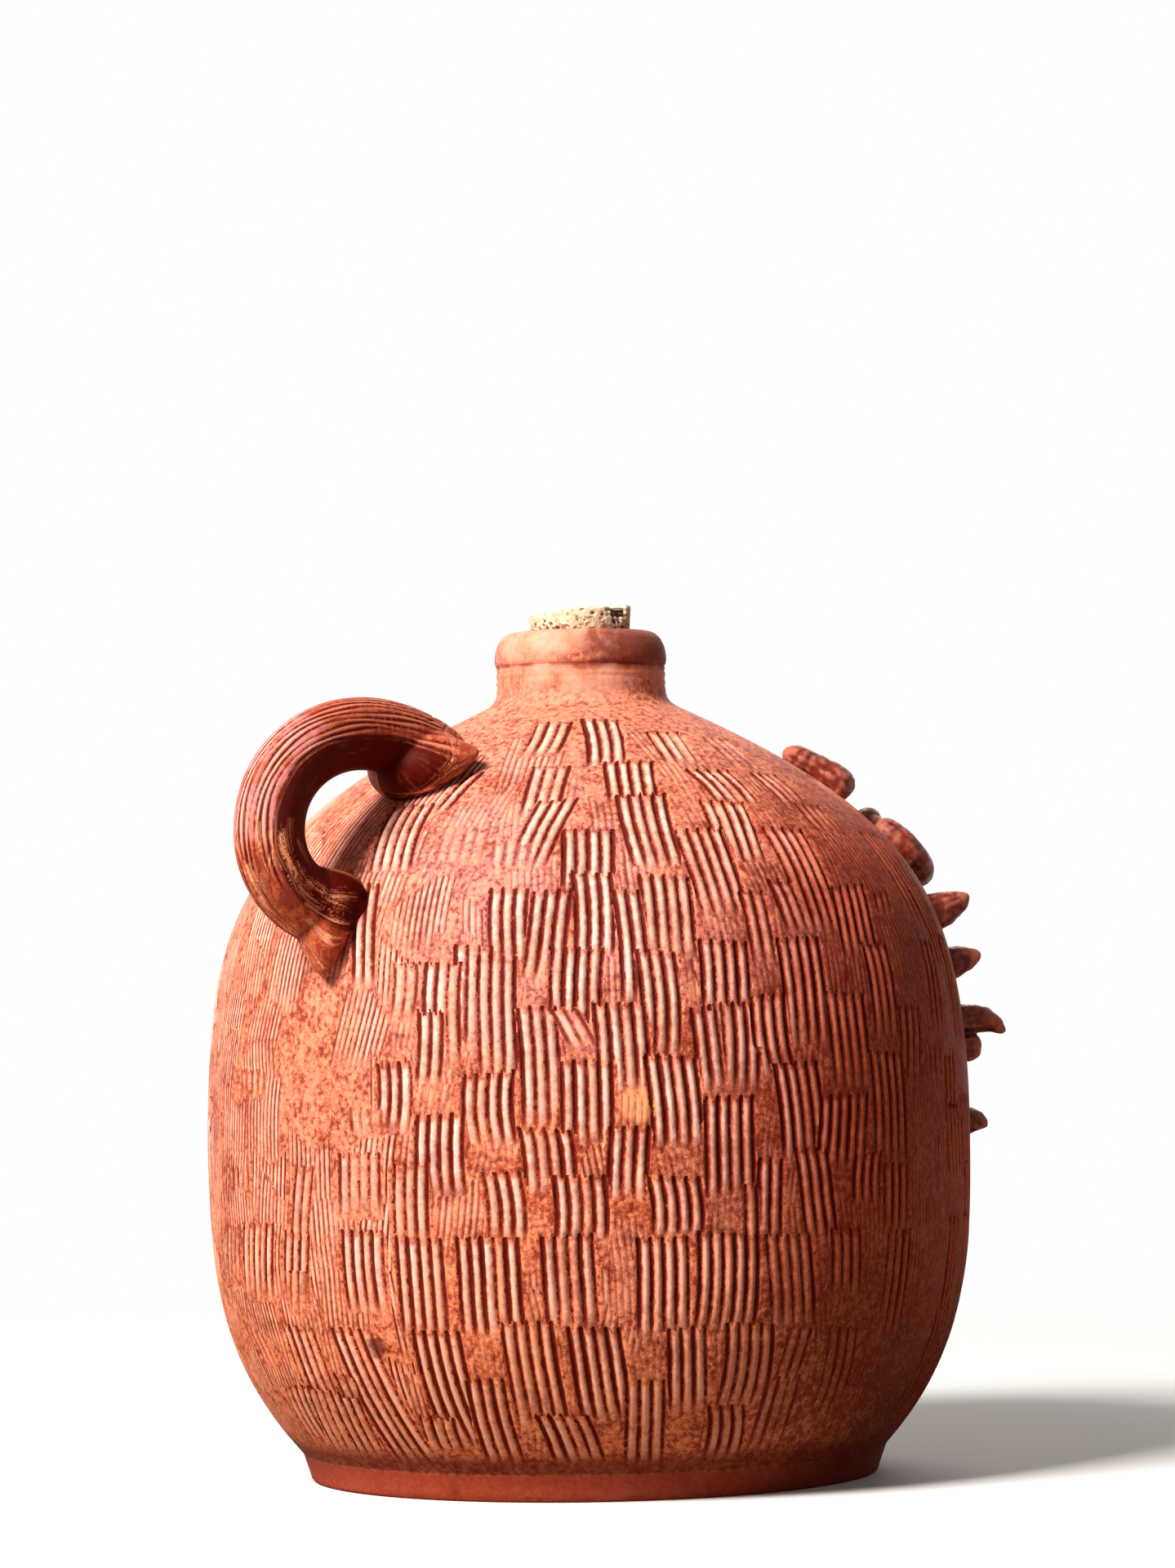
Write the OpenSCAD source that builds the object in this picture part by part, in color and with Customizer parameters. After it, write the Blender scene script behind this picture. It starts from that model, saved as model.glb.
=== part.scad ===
// Owl jug: a closed jug of red clay with a cork, a pulled loop handle and an owl of pressed-on clay.
// It stands on its foot at the origin. The handle lies along -X and the owl looks along +X.

/* [Jug body] */
// Widest diameter of the belly
belly_d = 179; // [160:1:200]
// Height of the widest part of the belly
belly_z = 77; // [68:1:86]
// Diameter of the foot where it stands
foot_d = 133; // [118:1:146]
// How far the foot band leans out from its bottom edge to its top
foot_flare = 1.8; // [0:0.1:3]
// Height of the bare foot band
foot_h = 6.2; // [4:0.1:9]
// Rounding under the foot
foot_edge = 1; // [0.4:0.1:2]
// Height at which the neck stands up from the shoulder
shoulder_z = 183.4; // [172:0.2:200]
// Thickness of the thrown wall
wall = 6.5; // [4.5:0.5:8]
// Thickness of the floor
floor_t = 7; // [5:0.5:9]
// Angle above level at which the wall leaves the foot
foot_angle = 48; // [42:1:56]
// Angle above level at which the shoulder reaches the neck
shoulder_angle = 25; // [18:1:32]

/* [Combed strokes] */
// Width of a stroke of the comb
comb_w = 12.5; // [9:0.5:15]
// Length of a stroke, down the wall
comb_l = 16; // [11:0.5:18]
// Depth of a stroke at its upper edge
comb_depth = 0.6; // [0.3:0.05:0.8]
// Distance around the wall from one stroke to the next
comb_step = 27; // [22:1:36]

/* [Neck and lip] */
// Diameter of the neck
neck_d = 40; // [36:0.2:46]
// Radius of the hollow between shoulder and neck
neck_fillet = 4; // [2:0.5:6]
// Height of the plain part of the neck
neck_h = 5.2; // [3:0.2:10]
// Depth of the turned line under the collar
collar_line = 0.5; // [0.2:0.1:0.8]
// Height of the rolled collar above that line
collar_h = 7.8; // [6:0.1:12]
// How far the collar stands out from the neck
collar_out = 0.4; // [0:0.1:1.5]
// Diameter of the flat top of the lip
lip_d = 30.4; // [29:0.2:36]
// Diameter of the bore
bore_d = 23.5; // [20:0.5:26]
// Rounding at the mouth of the bore
mouth_edge = 1; // [0.5:0.1:1.5]

/* [Cork] */
// Length of the cork
cork_l = 23; // [16:0.5:28]
// How far the cork stands out of the mouth
cork_out = 6.2; // [3:0.2:10]
// Taper of the cork, as the angle of its side
cork_taper = 4; // [2:0.5:6]
// Gap between cork and bore where the cork is thickest in it
cork_gap = 0.1; // [0.05:0.05:0.3]
// Rounding of the cork's edges
cork_edge = 0.8; // [0.4:0.1:1.5]
// Slant of the cork's cut top
cork_slant = 4; // [0:0.5:6]
// Direction in which that top slants down
cork_turn = 135; // [0:5:355]

/* [Handle] */
// Width of the handle, side to side
handle_w = 15.5; // [13:0.5:18]
// Thickness of the handle, outside to inside
handle_t = 17; // [13:0.5:18]
// Gap from the wall to the middle of the handle where it stands out farthest
handle_stand = 30; // [27:0.5:34]
// How far below the neck the upper root meets the shoulder
root_drop = 17; // [14:0.5:20]
// How far below the neck the handle stands out farthest
reach_drop = 33; // [30:0.5:37]
// How far below the neck the lower end meets the belly
grip_drop = 52.5; // [50:0.5:56]
// How far the wiped tail runs on down the belly
tail_l = 13; // [8:0.5:16]
// Width of the tail where it leaves the handle
tail_w = 13; // [8:0.5:15]
// How far the tail stands out from the belly there
tail_out = 5; // [3:0.5:6]
// How far the handle swings to one side as it comes down to its tail
tail_swing = 4; // [0:0.5:6]
// Width of the flared upper root
root_w = 32; // [24:0.5:36]
// Thickness of the flared upper root
root_t = 22; // [18:0.5:26]
// Angle at which the handle climbs away from the shoulder
root_angle = 46; // [38:1:54]
// Height of the combed ridges along the outside of the handle
ridge_h = 0.5; // [0:0.1:0.8]

/* [Owl face] */
// Angle from the middle of the owl to each eye
eye_turn = 31; // [28:1:34]
// Outer diameter of an eye ring
eye_d = 24.5; // [22:0.5:28]
// Thickness of the roll that makes an eye ring
eye_roll = 7.4; // [6:0.2:8]
// Gap between the two ends of that roll
eye_seam = 1; // [0.6:0.1:2]
// Lean of an eye ring, whose lower edge stands out farther
eye_lean = 6; // [0:1:9]
// Diameter of a pupil
pupil_d = 9; // [6:0.5:10]
// How far a brow and a toe stand out from the wall
roll_out = 5; // [4:0.2:7]
// How far an eye ring stands out from the wall
eye_out = 6; // [4:0.2:7]
// Width of a brow
brow_w = 8; // [6:0.5:9]
// Width of an ear tuft
tuft_w = 12; // [9:0.5:14]
// How far the thick lower end of an ear tuft stands out from the wall
tuft_out = 7.5; // [6:0.5:9]
// Width of the beak at its root
beak_w = 13; // [10:0.5:16]
// Length of the beak, down the wall
beak_l = 17; // [13:0.5:20]
// How far the beak stands out from the wall
beak_out = 10; // [7:0.5:13]

/* [Owl feathers and feet] */
// Width of a pinched feather where it sits on the wall
feather_w = 9.5; // [7:0.5:11]
// Height of a pinched feather where it sits on the wall
feather_h = 10.5; // [8:0.5:12]
// How far a pinched feather stands out from the wall
feather_out = 9; // [6:0.5:12]
// Angle from the middle of the owl to the wing edges
wing_turn = 41; // [39:1:46]
// Angle between neighbouring feathers of the breast
breast_turn = 13; // [12:1:15]
// Angle from the middle of the owl to each foot
foot_turn = 13; // [12:1:16]
// Thickness of a toe
toe_d = 6.5; // [5:0.5:7]
// Length of a toe
toe_l = 15; // [12:0.5:18]

/* [Hidden] */
// The owl's own left is at +Y when it looks along +X
SIDES = [1, -1];

// One overrun for every cut
over = 1;

// Faces around a turned form, along each curve of the outline, around a roll and along it
$fn = 144;
low_steps = 14;
high_steps = 24;
bend_steps = 6;
roll_sides = 12;
roll_rings = 14;
feather_rings = 8;
arm_rings = 15;
arm_sides = 40;

// Heights and radii of the jug
belly_r = belly_d / 2;
foot_r = foot_d / 2;
neck_r = neck_d / 2;
bore_r = bore_d / 2;
lip_r = lip_d / 2;
collar_r = neck_r + collar_out;
line_z = shoulder_z + neck_h;
collar_z = line_z + 2 * collar_line;
lip_z = collar_z + collar_h;
rise = shoulder_z - belly_z;

// How strongly the outline's curves hold their end directions, as shares of the height that they span
foot_hold_share = 0.35;
low_hold_share = 0.41;
high_hold_share = 0.527;
shoulder_hold_share = 0.604;
// The collar is widest at this share of its height, and rolls over with these shares of height and width
collar_widest_share = 0.12;
collar_rise_share = 0.34;
collar_roll_share = 0.45;

// Rows of comb strokes, with their upper edges as shares of the shoulder's height
comb_row_shares = [0.945, 0.855, 0.752, 0.645, 0.54, 0.43, 0.325, 0.215];
// No stroke is pressed within these angles of the owl and the handle, above these shares of the shoulder's height
owl_clear_turn = 57;
owl_clear_share = 0.4;
handle_clear_turn = 28;
handle_clear_share = 0.62;

// Handle: its ends start inside the clay by these shares of its thickness
root_sink_share = 0.35;
grip_sink_share = 0.5;
// How strongly its middle line holds its directions, as shares of how far it stands out
root_hold_share = 1.03;
top_hold_share = 0.7;
grip_hold_share = 0.37;
turn_hold_share = 0.54;
// The root is flared over this share of the upper arm
root_flare_share = 0.42;
// The tail starts this share of its length above the lower end, and narrows to this share of its width
tail_start_share = 0.3;
tail_end_share = 0.35;
// Ridges on the outer half
ridges = 5;

// Owl: spots are a share of the eyes' turn and a share of the shoulder's height
eye_height_share = 0.787;
brow_shares = [[0.13, 0.806], [0.3, 0.865], [0.78, 0.874]];
tuft_shares = [[1.24, 0.852], [1.2, 0.885], [1.13, 0.91]];
tuft_end_share = 0.55;
brow_end_share = 0.9;
beak_height_share = 0.735;
// The beak's middle line, as shares of its length along the wall and of its stand-out
beak_shares = [[0.3, -0.3], [0.4, 0.9], [0, 1.15], [-0.55, 0.72]];
beak_tip_share = 0.24;
// The seam of an eye ring lies at this angle, from level and outward round to upward
seam_angle = 62;
// Wing feathers from the top down: height, then size, stand-out, droop and tip
wing_height_shares = [0.708, 0.643, 0.57, 0.44];
wing_size_shares = [1, 0.84, 0.72, 0.8];
wing_out_shares = [1.06, 0.86, 1.14, 0.54];
wing_droop_shares = [-0.06, -0.04, 0.4, 0.16];
wing_tip_shares = [0.5, 0.52, 0.76, 0.3];
// The third of them has a folded lobe under it
lobed = 2;
lobe_drop_share = 0.62;
lobe_out_share = 0.5;
// Breast feathers: a turn in breast angles and a share of the shoulder's height
breast_shares = [[-1, 0.648], [0, 0.632], [1, 0.648], [-0.55, 0.56], [0.55, 0.56]];
breast_size_share = 0.86;
breast_out_share = 0.62;
breast_droop_share = 0.3;
breast_tip_share = 0.5;
// Feet
foot_height_share = 0.49;
toe_spread_share = 0.5;
toe_end_share = 0.72;
toes = [-1, 0, 1];
// Lumps are sunk by this share of their stand-out, and the wall then cuts them off
sink_share = 0.35;
// Their ends close to this share of their width, with these bluntnesses
close_share = 0.14;
roll_blunt = 5;
tip_blunt = 3.5;

function paired(piece, side) = str(piece, side > 0 ? "_left" : "_right");
function wing_name(side, i) = str(paired("wing_feather", side), "_", i + 1);
function breast_name(i) = str("breast_feather_", i + 1);

function unit(v) = v / norm(v);
function mix(a, b, t) = a + (b - a) * t;
function steps(n) = [for (i = [0 : n]) i / n];
function after_first(list) = [for (i = [1 : len(list) - 1]) list[i]];
function reversed(list) = [for (i = [len(list) - 1 : -1 : 0]) list[i]];
function bezier(p, t) =
    pow(1 - t, 3) * p[0] + 3 * pow(1 - t, 2) * t * p[1] + 3 * (1 - t) * t * t * p[2] + pow(t, 3) * p[3];
// The direction of that curve
function bezier_way(p, t) =
    unit(pow(1 - t, 2) * (p[1] - p[0]) + 2 * (1 - t) * t * (p[2] - p[1]) + t * t * (p[3] - p[2]));
// A point of the outline moved into the clay by the wall's thickness
function inward(p, t) = let (way = bezier_way(p, t)) bezier(p, t) + wall * [-way.y, way.x];

// Outline: each point is a radius and a height
foot_top = [foot_r + foot_flare, foot_h];
belly = [belly_r, belly_z];
shoulder = [neck_r + neck_fillet * (1 - sin(shoulder_angle)), shoulder_z - neck_fillet * cos(shoulder_angle)];
low_curve = [
    foot_top,
    foot_top + foot_hold_share * belly_z * [cos(foot_angle), sin(foot_angle)],
    belly - [0, low_hold_share * belly_z],
    belly
];
high_curve = [
    belly,
    belly + [0, high_hold_share * rise],
    shoulder + shoulder_hold_share * rise * [cos(shoulder_angle), -sin(shoulder_angle)],
    shoulder
];
collar_widest = [collar_r, collar_z + collar_widest_share * collar_h];
lip_curve = [
    collar_widest,
    collar_widest + [0, collar_rise_share * collar_h],
    [lip_r + collar_roll_share * (collar_r - lip_r), lip_z],
    [lip_r, lip_z]
];
low_points = [for (t = steps(low_steps)) bezier(low_curve, t)];
high_points = [for (t = steps(high_steps)) bezier(high_curve, t)];
neck_bend = [for (t = steps(bend_steps))
    let (a = mix(270 - shoulder_angle, 180, t))
    [neck_r + neck_fillet * (1 + cos(a)), shoulder_z + neck_fillet * sin(a)]];
outer_wall = concat(
    [[0, 0], [foot_r - foot_edge, 0], [foot_r, foot_edge]],
    low_points,
    after_first(high_points),
    after_first(neck_bend),
    [[neck_r, line_z], [neck_r - collar_line, line_z + collar_line], [neck_r, collar_z]],
    [for (t = steps(bend_steps)) bezier(lip_curve, t)]
);

// Inside: the wall keeps its thickness up to the bore
low_inside = [for (t = steps(low_steps)) inward(low_curve, t)];
high_inside = [for (t = steps(high_steps)) inward(high_curve, t)];
floor_edge = [low_inside[0].x - (low_inside[0].y - floor_t) / tan(foot_angle), floor_t];
inside_top = high_inside[high_steps];
bore_base = [bore_r, inside_top.y + (inside_top.x - bore_r) * tan(shoulder_angle)];
mouth = [for (t = steps(bend_steps))
    [bore_r + mouth_edge * (1 - cos(90 * t)), lip_z - mouth_edge * (1 - sin(90 * t))]];
inner_wall = concat([[0, floor_t], floor_edge], low_inside, after_first(high_inside), [bore_base], mouth);

// Radius of the jug at a height and how fast it grows there, over a short probe up and down
outline = [for (p = concat(low_points, after_first(high_points))) [p.y, p.x]];
probe = wall / 4;
function radius_at(z) = lookup(z, outline);
function slope_at(z) = (radius_at(z + probe) - radius_at(z - probe)) / (2 * probe);

// Directions on the wall at a turn and a height: out of it, level along it and up along it
function out_of(turn, z) = unit([cos(turn), sin(turn), -slope_at(z)]);
function along(turn) = [-sin(turn), cos(turn), 0];
function up(turn, z) = cross(out_of(turn, z), along(turn));
// A point above the wall
function on_wall(turn, z, lift) =
    let (r = radius_at(z))
    [r * cos(turn), r * sin(turn), z] + lift * out_of(turn, z);
// Degrees that a length takes up around the wall
function turn_of(length, z) = length / radius_at(z) * 180 / PI;

// Whether a comb stroke whose upper edge is at this turn and height stays clear of the owl and the handle
function is_clear(turn, z) =
    !(min(turn, 360 - turn) < owl_clear_turn && z > owl_clear_share * shoulder_z) &&
    !(abs(turn - 180) < handle_clear_turn && z > handle_clear_share * shoulder_z);

// Cork, worked out from the bore that it fits
cork_top_z = lip_z + cork_out;
cork_base_z = cork_top_z - cork_l;
function cork_r(z) = bore_r - cork_gap + (z - lip_z + mouth_edge) * tan(cork_taper);

// Handle: its middle line leaves the shoulder, stands out and comes in again to the belly
root_z = shoulder_z - root_drop;
reach_z = shoulder_z - reach_drop;
grip_z = shoulder_z - grip_drop;
reach = [radius_at(reach_z) + handle_stand, reach_z];
root = [radius_at(root_z), root_z] - root_sink_share * handle_t * [1, 1];
grip = [radius_at(grip_z) - grip_sink_share * handle_t, grip_z];
upper_arm = [
    root,
    root + root_hold_share * handle_stand * [cos(root_angle), sin(root_angle)],
    reach + [0, top_hold_share * handle_stand],
    reach
];
lower_arm = [
    reach,
    reach - [0, grip_hold_share * handle_stand],
    grip + [turn_hold_share * handle_stand, 0],
    grip
];

// One ring of the handle, square to its middle line, with ridges on its outer half
function arm_ring(arm, t, width, thick, swing) =
    let (p = bezier(arm, t), way = bezier_way(arm, t))
    [for (j = [0 : arm_sides - 1])
        let (
            a = 360 * j / arm_sides,
            out = (thick / 2 + ridge_h * max(0, cos(a)) * cos(2 * ridges * a)) * cos(a)
        )
        [out * way.y - p.x, width / 2 * sin(a) - swing, p.y + out * way.x]];

// An oval ring about a middle, with its half axes given as vectors
function oval(middle, across, over_it) =
    [for (j = [0 : roll_sides - 1])
        let (a = 360 * j / roll_sides)
        middle + cos(a) * across + sin(a) * over_it];

// Width of a roll and of a lump at a share of its length
function round_ends(t) = max(close_share, sqrt(1 - pow(abs(2 * t - 1), roll_blunt)));
function round_tip(t) = max(close_share, sqrt(1 - pow(t, tip_blunt)));
// Shares of a length, set closer together towards both ends
function eased(n) = [for (i = [0 : n]) (1 - cos(180 * i / n)) / 2];
// A spot of the owl as a turn and a height
function spot(shares, side) = [side * shares[0] * eye_turn, shares[1] * shoulder_z];

// A skin over rings of points, closed at both ends
module skin(rings) {
    sides = len(rings[0]);
    last = len(rings) - 1;
    polyhedron(
        points = [for (ring = rings) each ring],
        faces = concat(
            [[for (j = [0 : sides - 1]) j]],
            [[for (j = [0 : sides - 1]) last * sides + sides - 1 - j]],
            [for (i = [0 : last - 1], j = [0 : sides - 1])
                let (k = (j + 1) % sides, a = i * sides, b = a + sides)
                each [[a + j, b + j, b + k], [a + j, b + k, a + k]]]
        )
    );
}

// The jug's outside as one solid, which cuts off every piece that sits on the wall
module trimmed(tint) {
    color(tint)
        difference() {
            children();
            rotate_extrude()
                polygon(concat(outer_wall, [[0, lip_z]]));
        }
}

// A roll of clay pressed along the wall: each station is a turn, a height and a share of the width
module roll(stations, width, stand) {
    last = len(stations) - 1;
    half = (1 + sink_share) * stand / 2;
    middles = [for (s = stations) on_wall(s[0], s[1], stand - half)];
    skin([for (i = [0 : last])
        let (
            out = out_of(stations[i][0], stations[i][1]),
            way = unit(middles[min(i + 1, last)] - middles[max(i - 1, 0)]),
            size = stations[i][2]
        )
        oval(middles[i], width / 2 * size * unit(cross(out, way)), half * size * out)]);
}

// A roll through three spots, which narrows to a share of its width
module roll_through(spots, side, width, stand, end_share) {
    p = [for (s = spots) spot(s, side)];
    roll([for (t = eased(roll_rings))
        concat(
            pow(1 - t, 2) * p[0] + 2 * (1 - t) * t * p[1] + t * t * p[2],
            round_ends(t) * mix(1, end_share, t)
        )], width, stand);
}

// A pinched lump on the wall: its path runs up the wall and out of it, and ends at its tip
module pinch(turn, z, path, width, height, tip_share) {
    out = out_of(turn, z);
    rising = up(turn, z);
    skin([for (t = eased(feather_rings))
        let (
            p = bezier(path, t),
            way = bezier_way(path, t),
            size = round_tip(t) * mix(1, tip_share, t)
        )
        oval(
            on_wall(turn, z, p.y) + p.x * rising,
            width / 2 * size * along(turn),
            height / 2 * size * (way.y * rising - way.x * out)
        )]);
}

// A pinched feather, whose tip droops by a share of its height
module feather(turn, z, size_share, out_share, droop_share, tip_share) {
    stand = out_share * feather_out;
    pinch(
        turn, z,
        [[0, -sink_share * stand], [0, stand / 3], [0, stand * 2 / 3], [-droop_share * feather_h, stand]],
        size_share * feather_w, size_share * feather_h, tip_share
    );
}

// A stroke of the comb, pressed in at its upper edge and drawn down until it leaves the curved wall
module comb_stroke(turn, z) {
    width = turn_of(comb_w, z);
    rotate(turn - width / 2)
        rotate_extrude(angle = width)
            polygon([
                [radius_at(z) - comb_depth, z],
                [radius_at(z) + over, z],
                [radius_at(z - comb_l) + over, z - comb_l],
                [radius_at(z - comb_l) + comb_depth / 2, z - comb_l]
            ]);
}

// A row of strokes round the wall, set off by half a step in every second row
module comb_row(i) {
    z = comb_row_shares[i] * shoulder_z;
    strokes = floor(2 * PI * radius_at(z) / comb_step);
    for (k = [0 : strokes - 1]) {
        turn = 360 * (k + i % 2 / 2) / strokes;
        if (is_clear(turn, z))
            comb_stroke(turn, z);
    }
}

module jug_body() {
    color([0.78, 0.36, 0.24])
        difference() {
            rotate_extrude()
                polygon(concat(outer_wall, reversed(inner_wall)));
            for (i = [0 : len(comb_row_shares) - 1])
                comb_row(i);
        }
}

module handle() {
    trimmed([0.62, 0.27, 0.19]) {
        skin(concat(
            [for (t = steps(arm_rings))
                let (flare = pow(max(0, 1 - t / root_flare_share), 2))
                arm_ring(upper_arm, t, mix(handle_w, root_w, flare), mix(handle_t, root_t, flare), 0)],
            [for (t = after_first(steps(arm_rings)))
                arm_ring(lower_arm, t, handle_w, handle_t, t * t * tail_swing)]
        ));
        roll([for (t = eased(roll_rings))
            [
                180 + turn_of(tail_swing, grip_z),
                grip_z + tail_l * (tail_start_share - (1 + tail_start_share) * t),
                round_ends(t) * mix(1, tail_end_share, t)
            ]], tail_w, tail_out);
    }
}

module cork() {
    color([0.78, 0.62, 0.44])
        difference() {
            rotate_extrude()
                polygon([
                    [0, cork_base_z],
                    [cork_r(cork_base_z) - cork_edge, cork_base_z],
                    [cork_r(cork_base_z), cork_base_z + cork_edge],
                    [cork_r(cork_top_z), cork_top_z - cork_edge],
                    [cork_r(cork_top_z) - cork_edge, cork_top_z],
                    [0, cork_top_z]
                ]);
            rotate([0, 0, cork_turn])
                translate([-cork_r(cork_top_z), 0, cork_top_z])
                    rotate([0, cork_slant, 0])
                        translate([-over, -cork_l, 0])
                            cube([2 * cork_l, 2 * cork_l, cork_l]);
        }
}

glaze = [0.36, 0.16, 0.11];

module ear_tuft(side) {
    trimmed(glaze)
        roll_through(tuft_shares, side, tuft_w, tuft_out, tuft_end_share);
}

module brow(side) {
    trimmed(glaze)
        roll_through(brow_shares, side, brow_w, roll_out, brow_end_share);
}

// A roll bent round into a ring, whose two ends meet at a seam
module eye_ring(side) {
    z = eye_height_share * shoulder_z;
    r = (eye_d - eye_roll) / 2;
    gap = eye_seam / r * 180 / PI;
    trimmed(glaze)
        translate(on_wall(side * eye_turn, z, eye_out - eye_roll / 2))
            rotate([0, acos(out_of(0, z).z) - eye_lean, side * eye_turn])
                rotate(side * (90 + seam_angle) + gap / 2)
                    rotate_extrude(angle = 360 - gap)
                        translate([r, 0])
                            circle(d = eye_roll);
}

module pupil(side) {
    trimmed(glaze)
        translate(on_wall(side * eye_turn, eye_height_share * shoulder_z, 0))
            sphere(d = pupil_d);
}

module beak() {
    trimmed(glaze)
        pinch(
            0, beak_height_share * shoulder_z,
            [for (s = beak_shares) [s[0] * beak_l, s[1] * beak_out]],
            beak_w, beak_w, beak_tip_share
        );
}

module wing_feather(side, i) {
    z = wing_height_shares[i] * shoulder_z;
    trimmed(glaze) {
        feather(side * wing_turn, z, wing_size_shares[i], wing_out_shares[i], wing_droop_shares[i],
            wing_tip_shares[i]);
        if (i == lobed)
            feather(side * wing_turn, z - lobe_drop_share * feather_h, wing_size_shares[i], lobe_out_share,
                0, 1);
    }
}

module breast_feather(i) {
    spot = breast_shares[i];
    trimmed(glaze)
        feather(spot[0] * breast_turn, spot[1] * shoulder_z, breast_size_share, breast_out_share,
            breast_droop_share, breast_tip_share);
}

// Three toes that spread downwards from one ankle
module foot(side) {
    z = foot_height_share * shoulder_z;
    trimmed(glaze)
        for (toe = toes) {
            spread = turn_of(toe * toe_spread_share * toe_l, z);
            roll([for (t = eased(roll_rings))
                [side * (foot_turn + spread * t), z - toe_l * t, round_ends(t) * mix(1, toe_end_share, t)]],
                toe_d, roll_out);
        }
}

jug_body();
handle();
cork();
beak();
for (side = SIDES) {
    ear_tuft(side);
    brow(side);
    eye_ring(side);
    pupil(side);
    foot(side);
    for (i = [0 : len(wing_height_shares) - 1])
        wing_feather(side, i);
}
for (i = [0 : len(breast_shares) - 1])
    breast_feather(i);
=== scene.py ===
# %% [markdown]
# # An owl jug in red clay
# The real jug is thrown on a wheel, combed with a toothed tool, and given a pulled handle, a cork and an
# owl of small clay lumps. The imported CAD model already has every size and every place. This lesson dresses
# it: each new piece stands where its CAD node stands, and gets the tool marks and the finish that a solid
# can't carry.

# %% Load the frame
import math
import bpy
import numpy as np
from mathutils import Matrix, Vector


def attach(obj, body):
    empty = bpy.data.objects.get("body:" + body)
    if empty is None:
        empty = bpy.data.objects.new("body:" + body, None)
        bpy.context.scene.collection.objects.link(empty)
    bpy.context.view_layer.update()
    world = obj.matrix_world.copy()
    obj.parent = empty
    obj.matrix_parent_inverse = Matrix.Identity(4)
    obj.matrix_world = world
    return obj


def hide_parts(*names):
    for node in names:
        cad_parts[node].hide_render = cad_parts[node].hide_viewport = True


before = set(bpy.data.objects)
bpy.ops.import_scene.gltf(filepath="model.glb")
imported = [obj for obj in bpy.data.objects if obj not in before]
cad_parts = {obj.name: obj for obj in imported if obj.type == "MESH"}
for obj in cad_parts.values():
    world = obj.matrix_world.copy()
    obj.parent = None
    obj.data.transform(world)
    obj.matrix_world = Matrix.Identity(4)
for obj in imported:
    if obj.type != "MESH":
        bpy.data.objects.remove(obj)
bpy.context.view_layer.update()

# %% [markdown]
# ## Camera, floor and light
# The photograph is taken from a step away with a long lens, almost level, and tilted by one degree. The
# camera is set first, because everything else is judged through it. A lens of 122 mm on a frame of 36 mm
# gives the same flat perspective. The handle is turned 45 degrees towards it.

# %% Camera
MM = 0.001
RIGHT = Vector((1, -1, 0)).normalized()
EYE_AWAY, EYE_HEIGHT = 1.25, 0.125
AIM_RIGHT, AIM_HEIGHT = 0.001136, 0.1616
TILT = math.radians(1.05)
LENS = 121.95

eye = Vector((-1, -1, 0)).normalized() * EYE_AWAY + Vector((0, 0, EYE_HEIGHT))
aim = RIGHT * AIM_RIGHT + Vector((0, 0, AIM_HEIGHT))
ahead = (aim - eye).normalized()
level = ahead.cross(Vector((0, 0, 1))).normalized()
top = level.cross(ahead) * math.cos(TILT) + level * math.sin(TILT)
bpy.ops.object.camera_add(location=eye)
camera = bpy.context.object
camera.name = "camera"
camera.rotation_euler = Matrix((top.cross(-ahead), top, -ahead)).transposed().to_euler()
camera.data.sensor_width = 36
camera.data.lens = LENS
camera.data.clip_start = 0.05
bpy.context.scene.camera = camera
print("camera at", [round(v, 3) for v in eye], "lens", camera.data.lens)

# %% [markdown]
# The light in the photograph is one soft window, high on the handle's side, with little light from anywhere
# else: the right side of the belly falls into shade. One square lamp does the window, a large weak one
# fills the shade, and one behind the jug shows the owl in other views. The white background is only for the
# camera and for reflections, through Light Path, so it adds no light to the clay. The floor throws back less
# light than it shows to the camera, in the same way.

# %% Lamps and world
JUG_MIDDLE = Vector((0, 0, 0.1))


def lamp(name, turn, rise, distance, size, power, tint):
    """A square lamp at a turn and a rise above level, aimed at the middle of the jug."""
    a, b = math.radians(turn), math.radians(rise)
    way = Vector((math.cos(a) * math.cos(b), math.sin(a) * math.cos(b), math.sin(b)))
    bpy.ops.object.light_add(type="AREA", location=JUG_MIDDLE + distance * way)
    new = bpy.context.object
    new.name = name
    new.rotation_euler = way.to_track_quat("Z", "Y").to_euler()
    new.data.shape = "SQUARE"
    new.data.size = size
    new.data.energy = power
    new.data.color = tint


lamp("window", 182, 43, 1.6, 0.5, 54, (1, 0.97, 0.95))
lamp("room", 240, 25, 2.0, 1.6, 1.6, (1, 0.94, 0.9))
lamp("owl_side", 42, 28, 2.0, 1.6, 15, (1, 0.95, 0.9))

bpy.context.scene.view_settings.view_transform = "Standard"
world = bpy.data.worlds.new("surroundings")
bpy.context.scene.world = world
world.use_nodes = True

# %% [markdown]
# ## Shader maths as Python
# A finish needs many small sums, such as "dark where the comb cut, but less towards the end of the stroke".
# Wiring each sum by hand hides what it says. Here one small class wraps the output of a node and
# understands + - and *, and another one holds a material and makes every other node through a single
# method.

# %% Materials as sums
class Sum:
    """The output of a node, which can be used in sums like a number."""

    def __init__(self, finish, socket):
        self.finish, self.socket = finish, socket

    def math(self, operation, *values):
        return self.finish.node("Math", {"operation": operation}, dict(enumerate(values)))

    def __add__(self, other):
        return self.math("ADD", self, other)

    def __sub__(self, other):
        return self.math("SUBTRACT", self, other)

    def __rsub__(self, other):
        return self.math("SUBTRACT", other, self)

    def __mul__(self, other):
        return self.math("MULTIPLY", self, other)

    __radd__ = __add__
    __rmul__ = __mul__

    def part(self, axis):
        """One of the three numbers of a vector."""
        return self.finish.node("SeparateXYZ", {}, {0: self}, axis)


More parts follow.
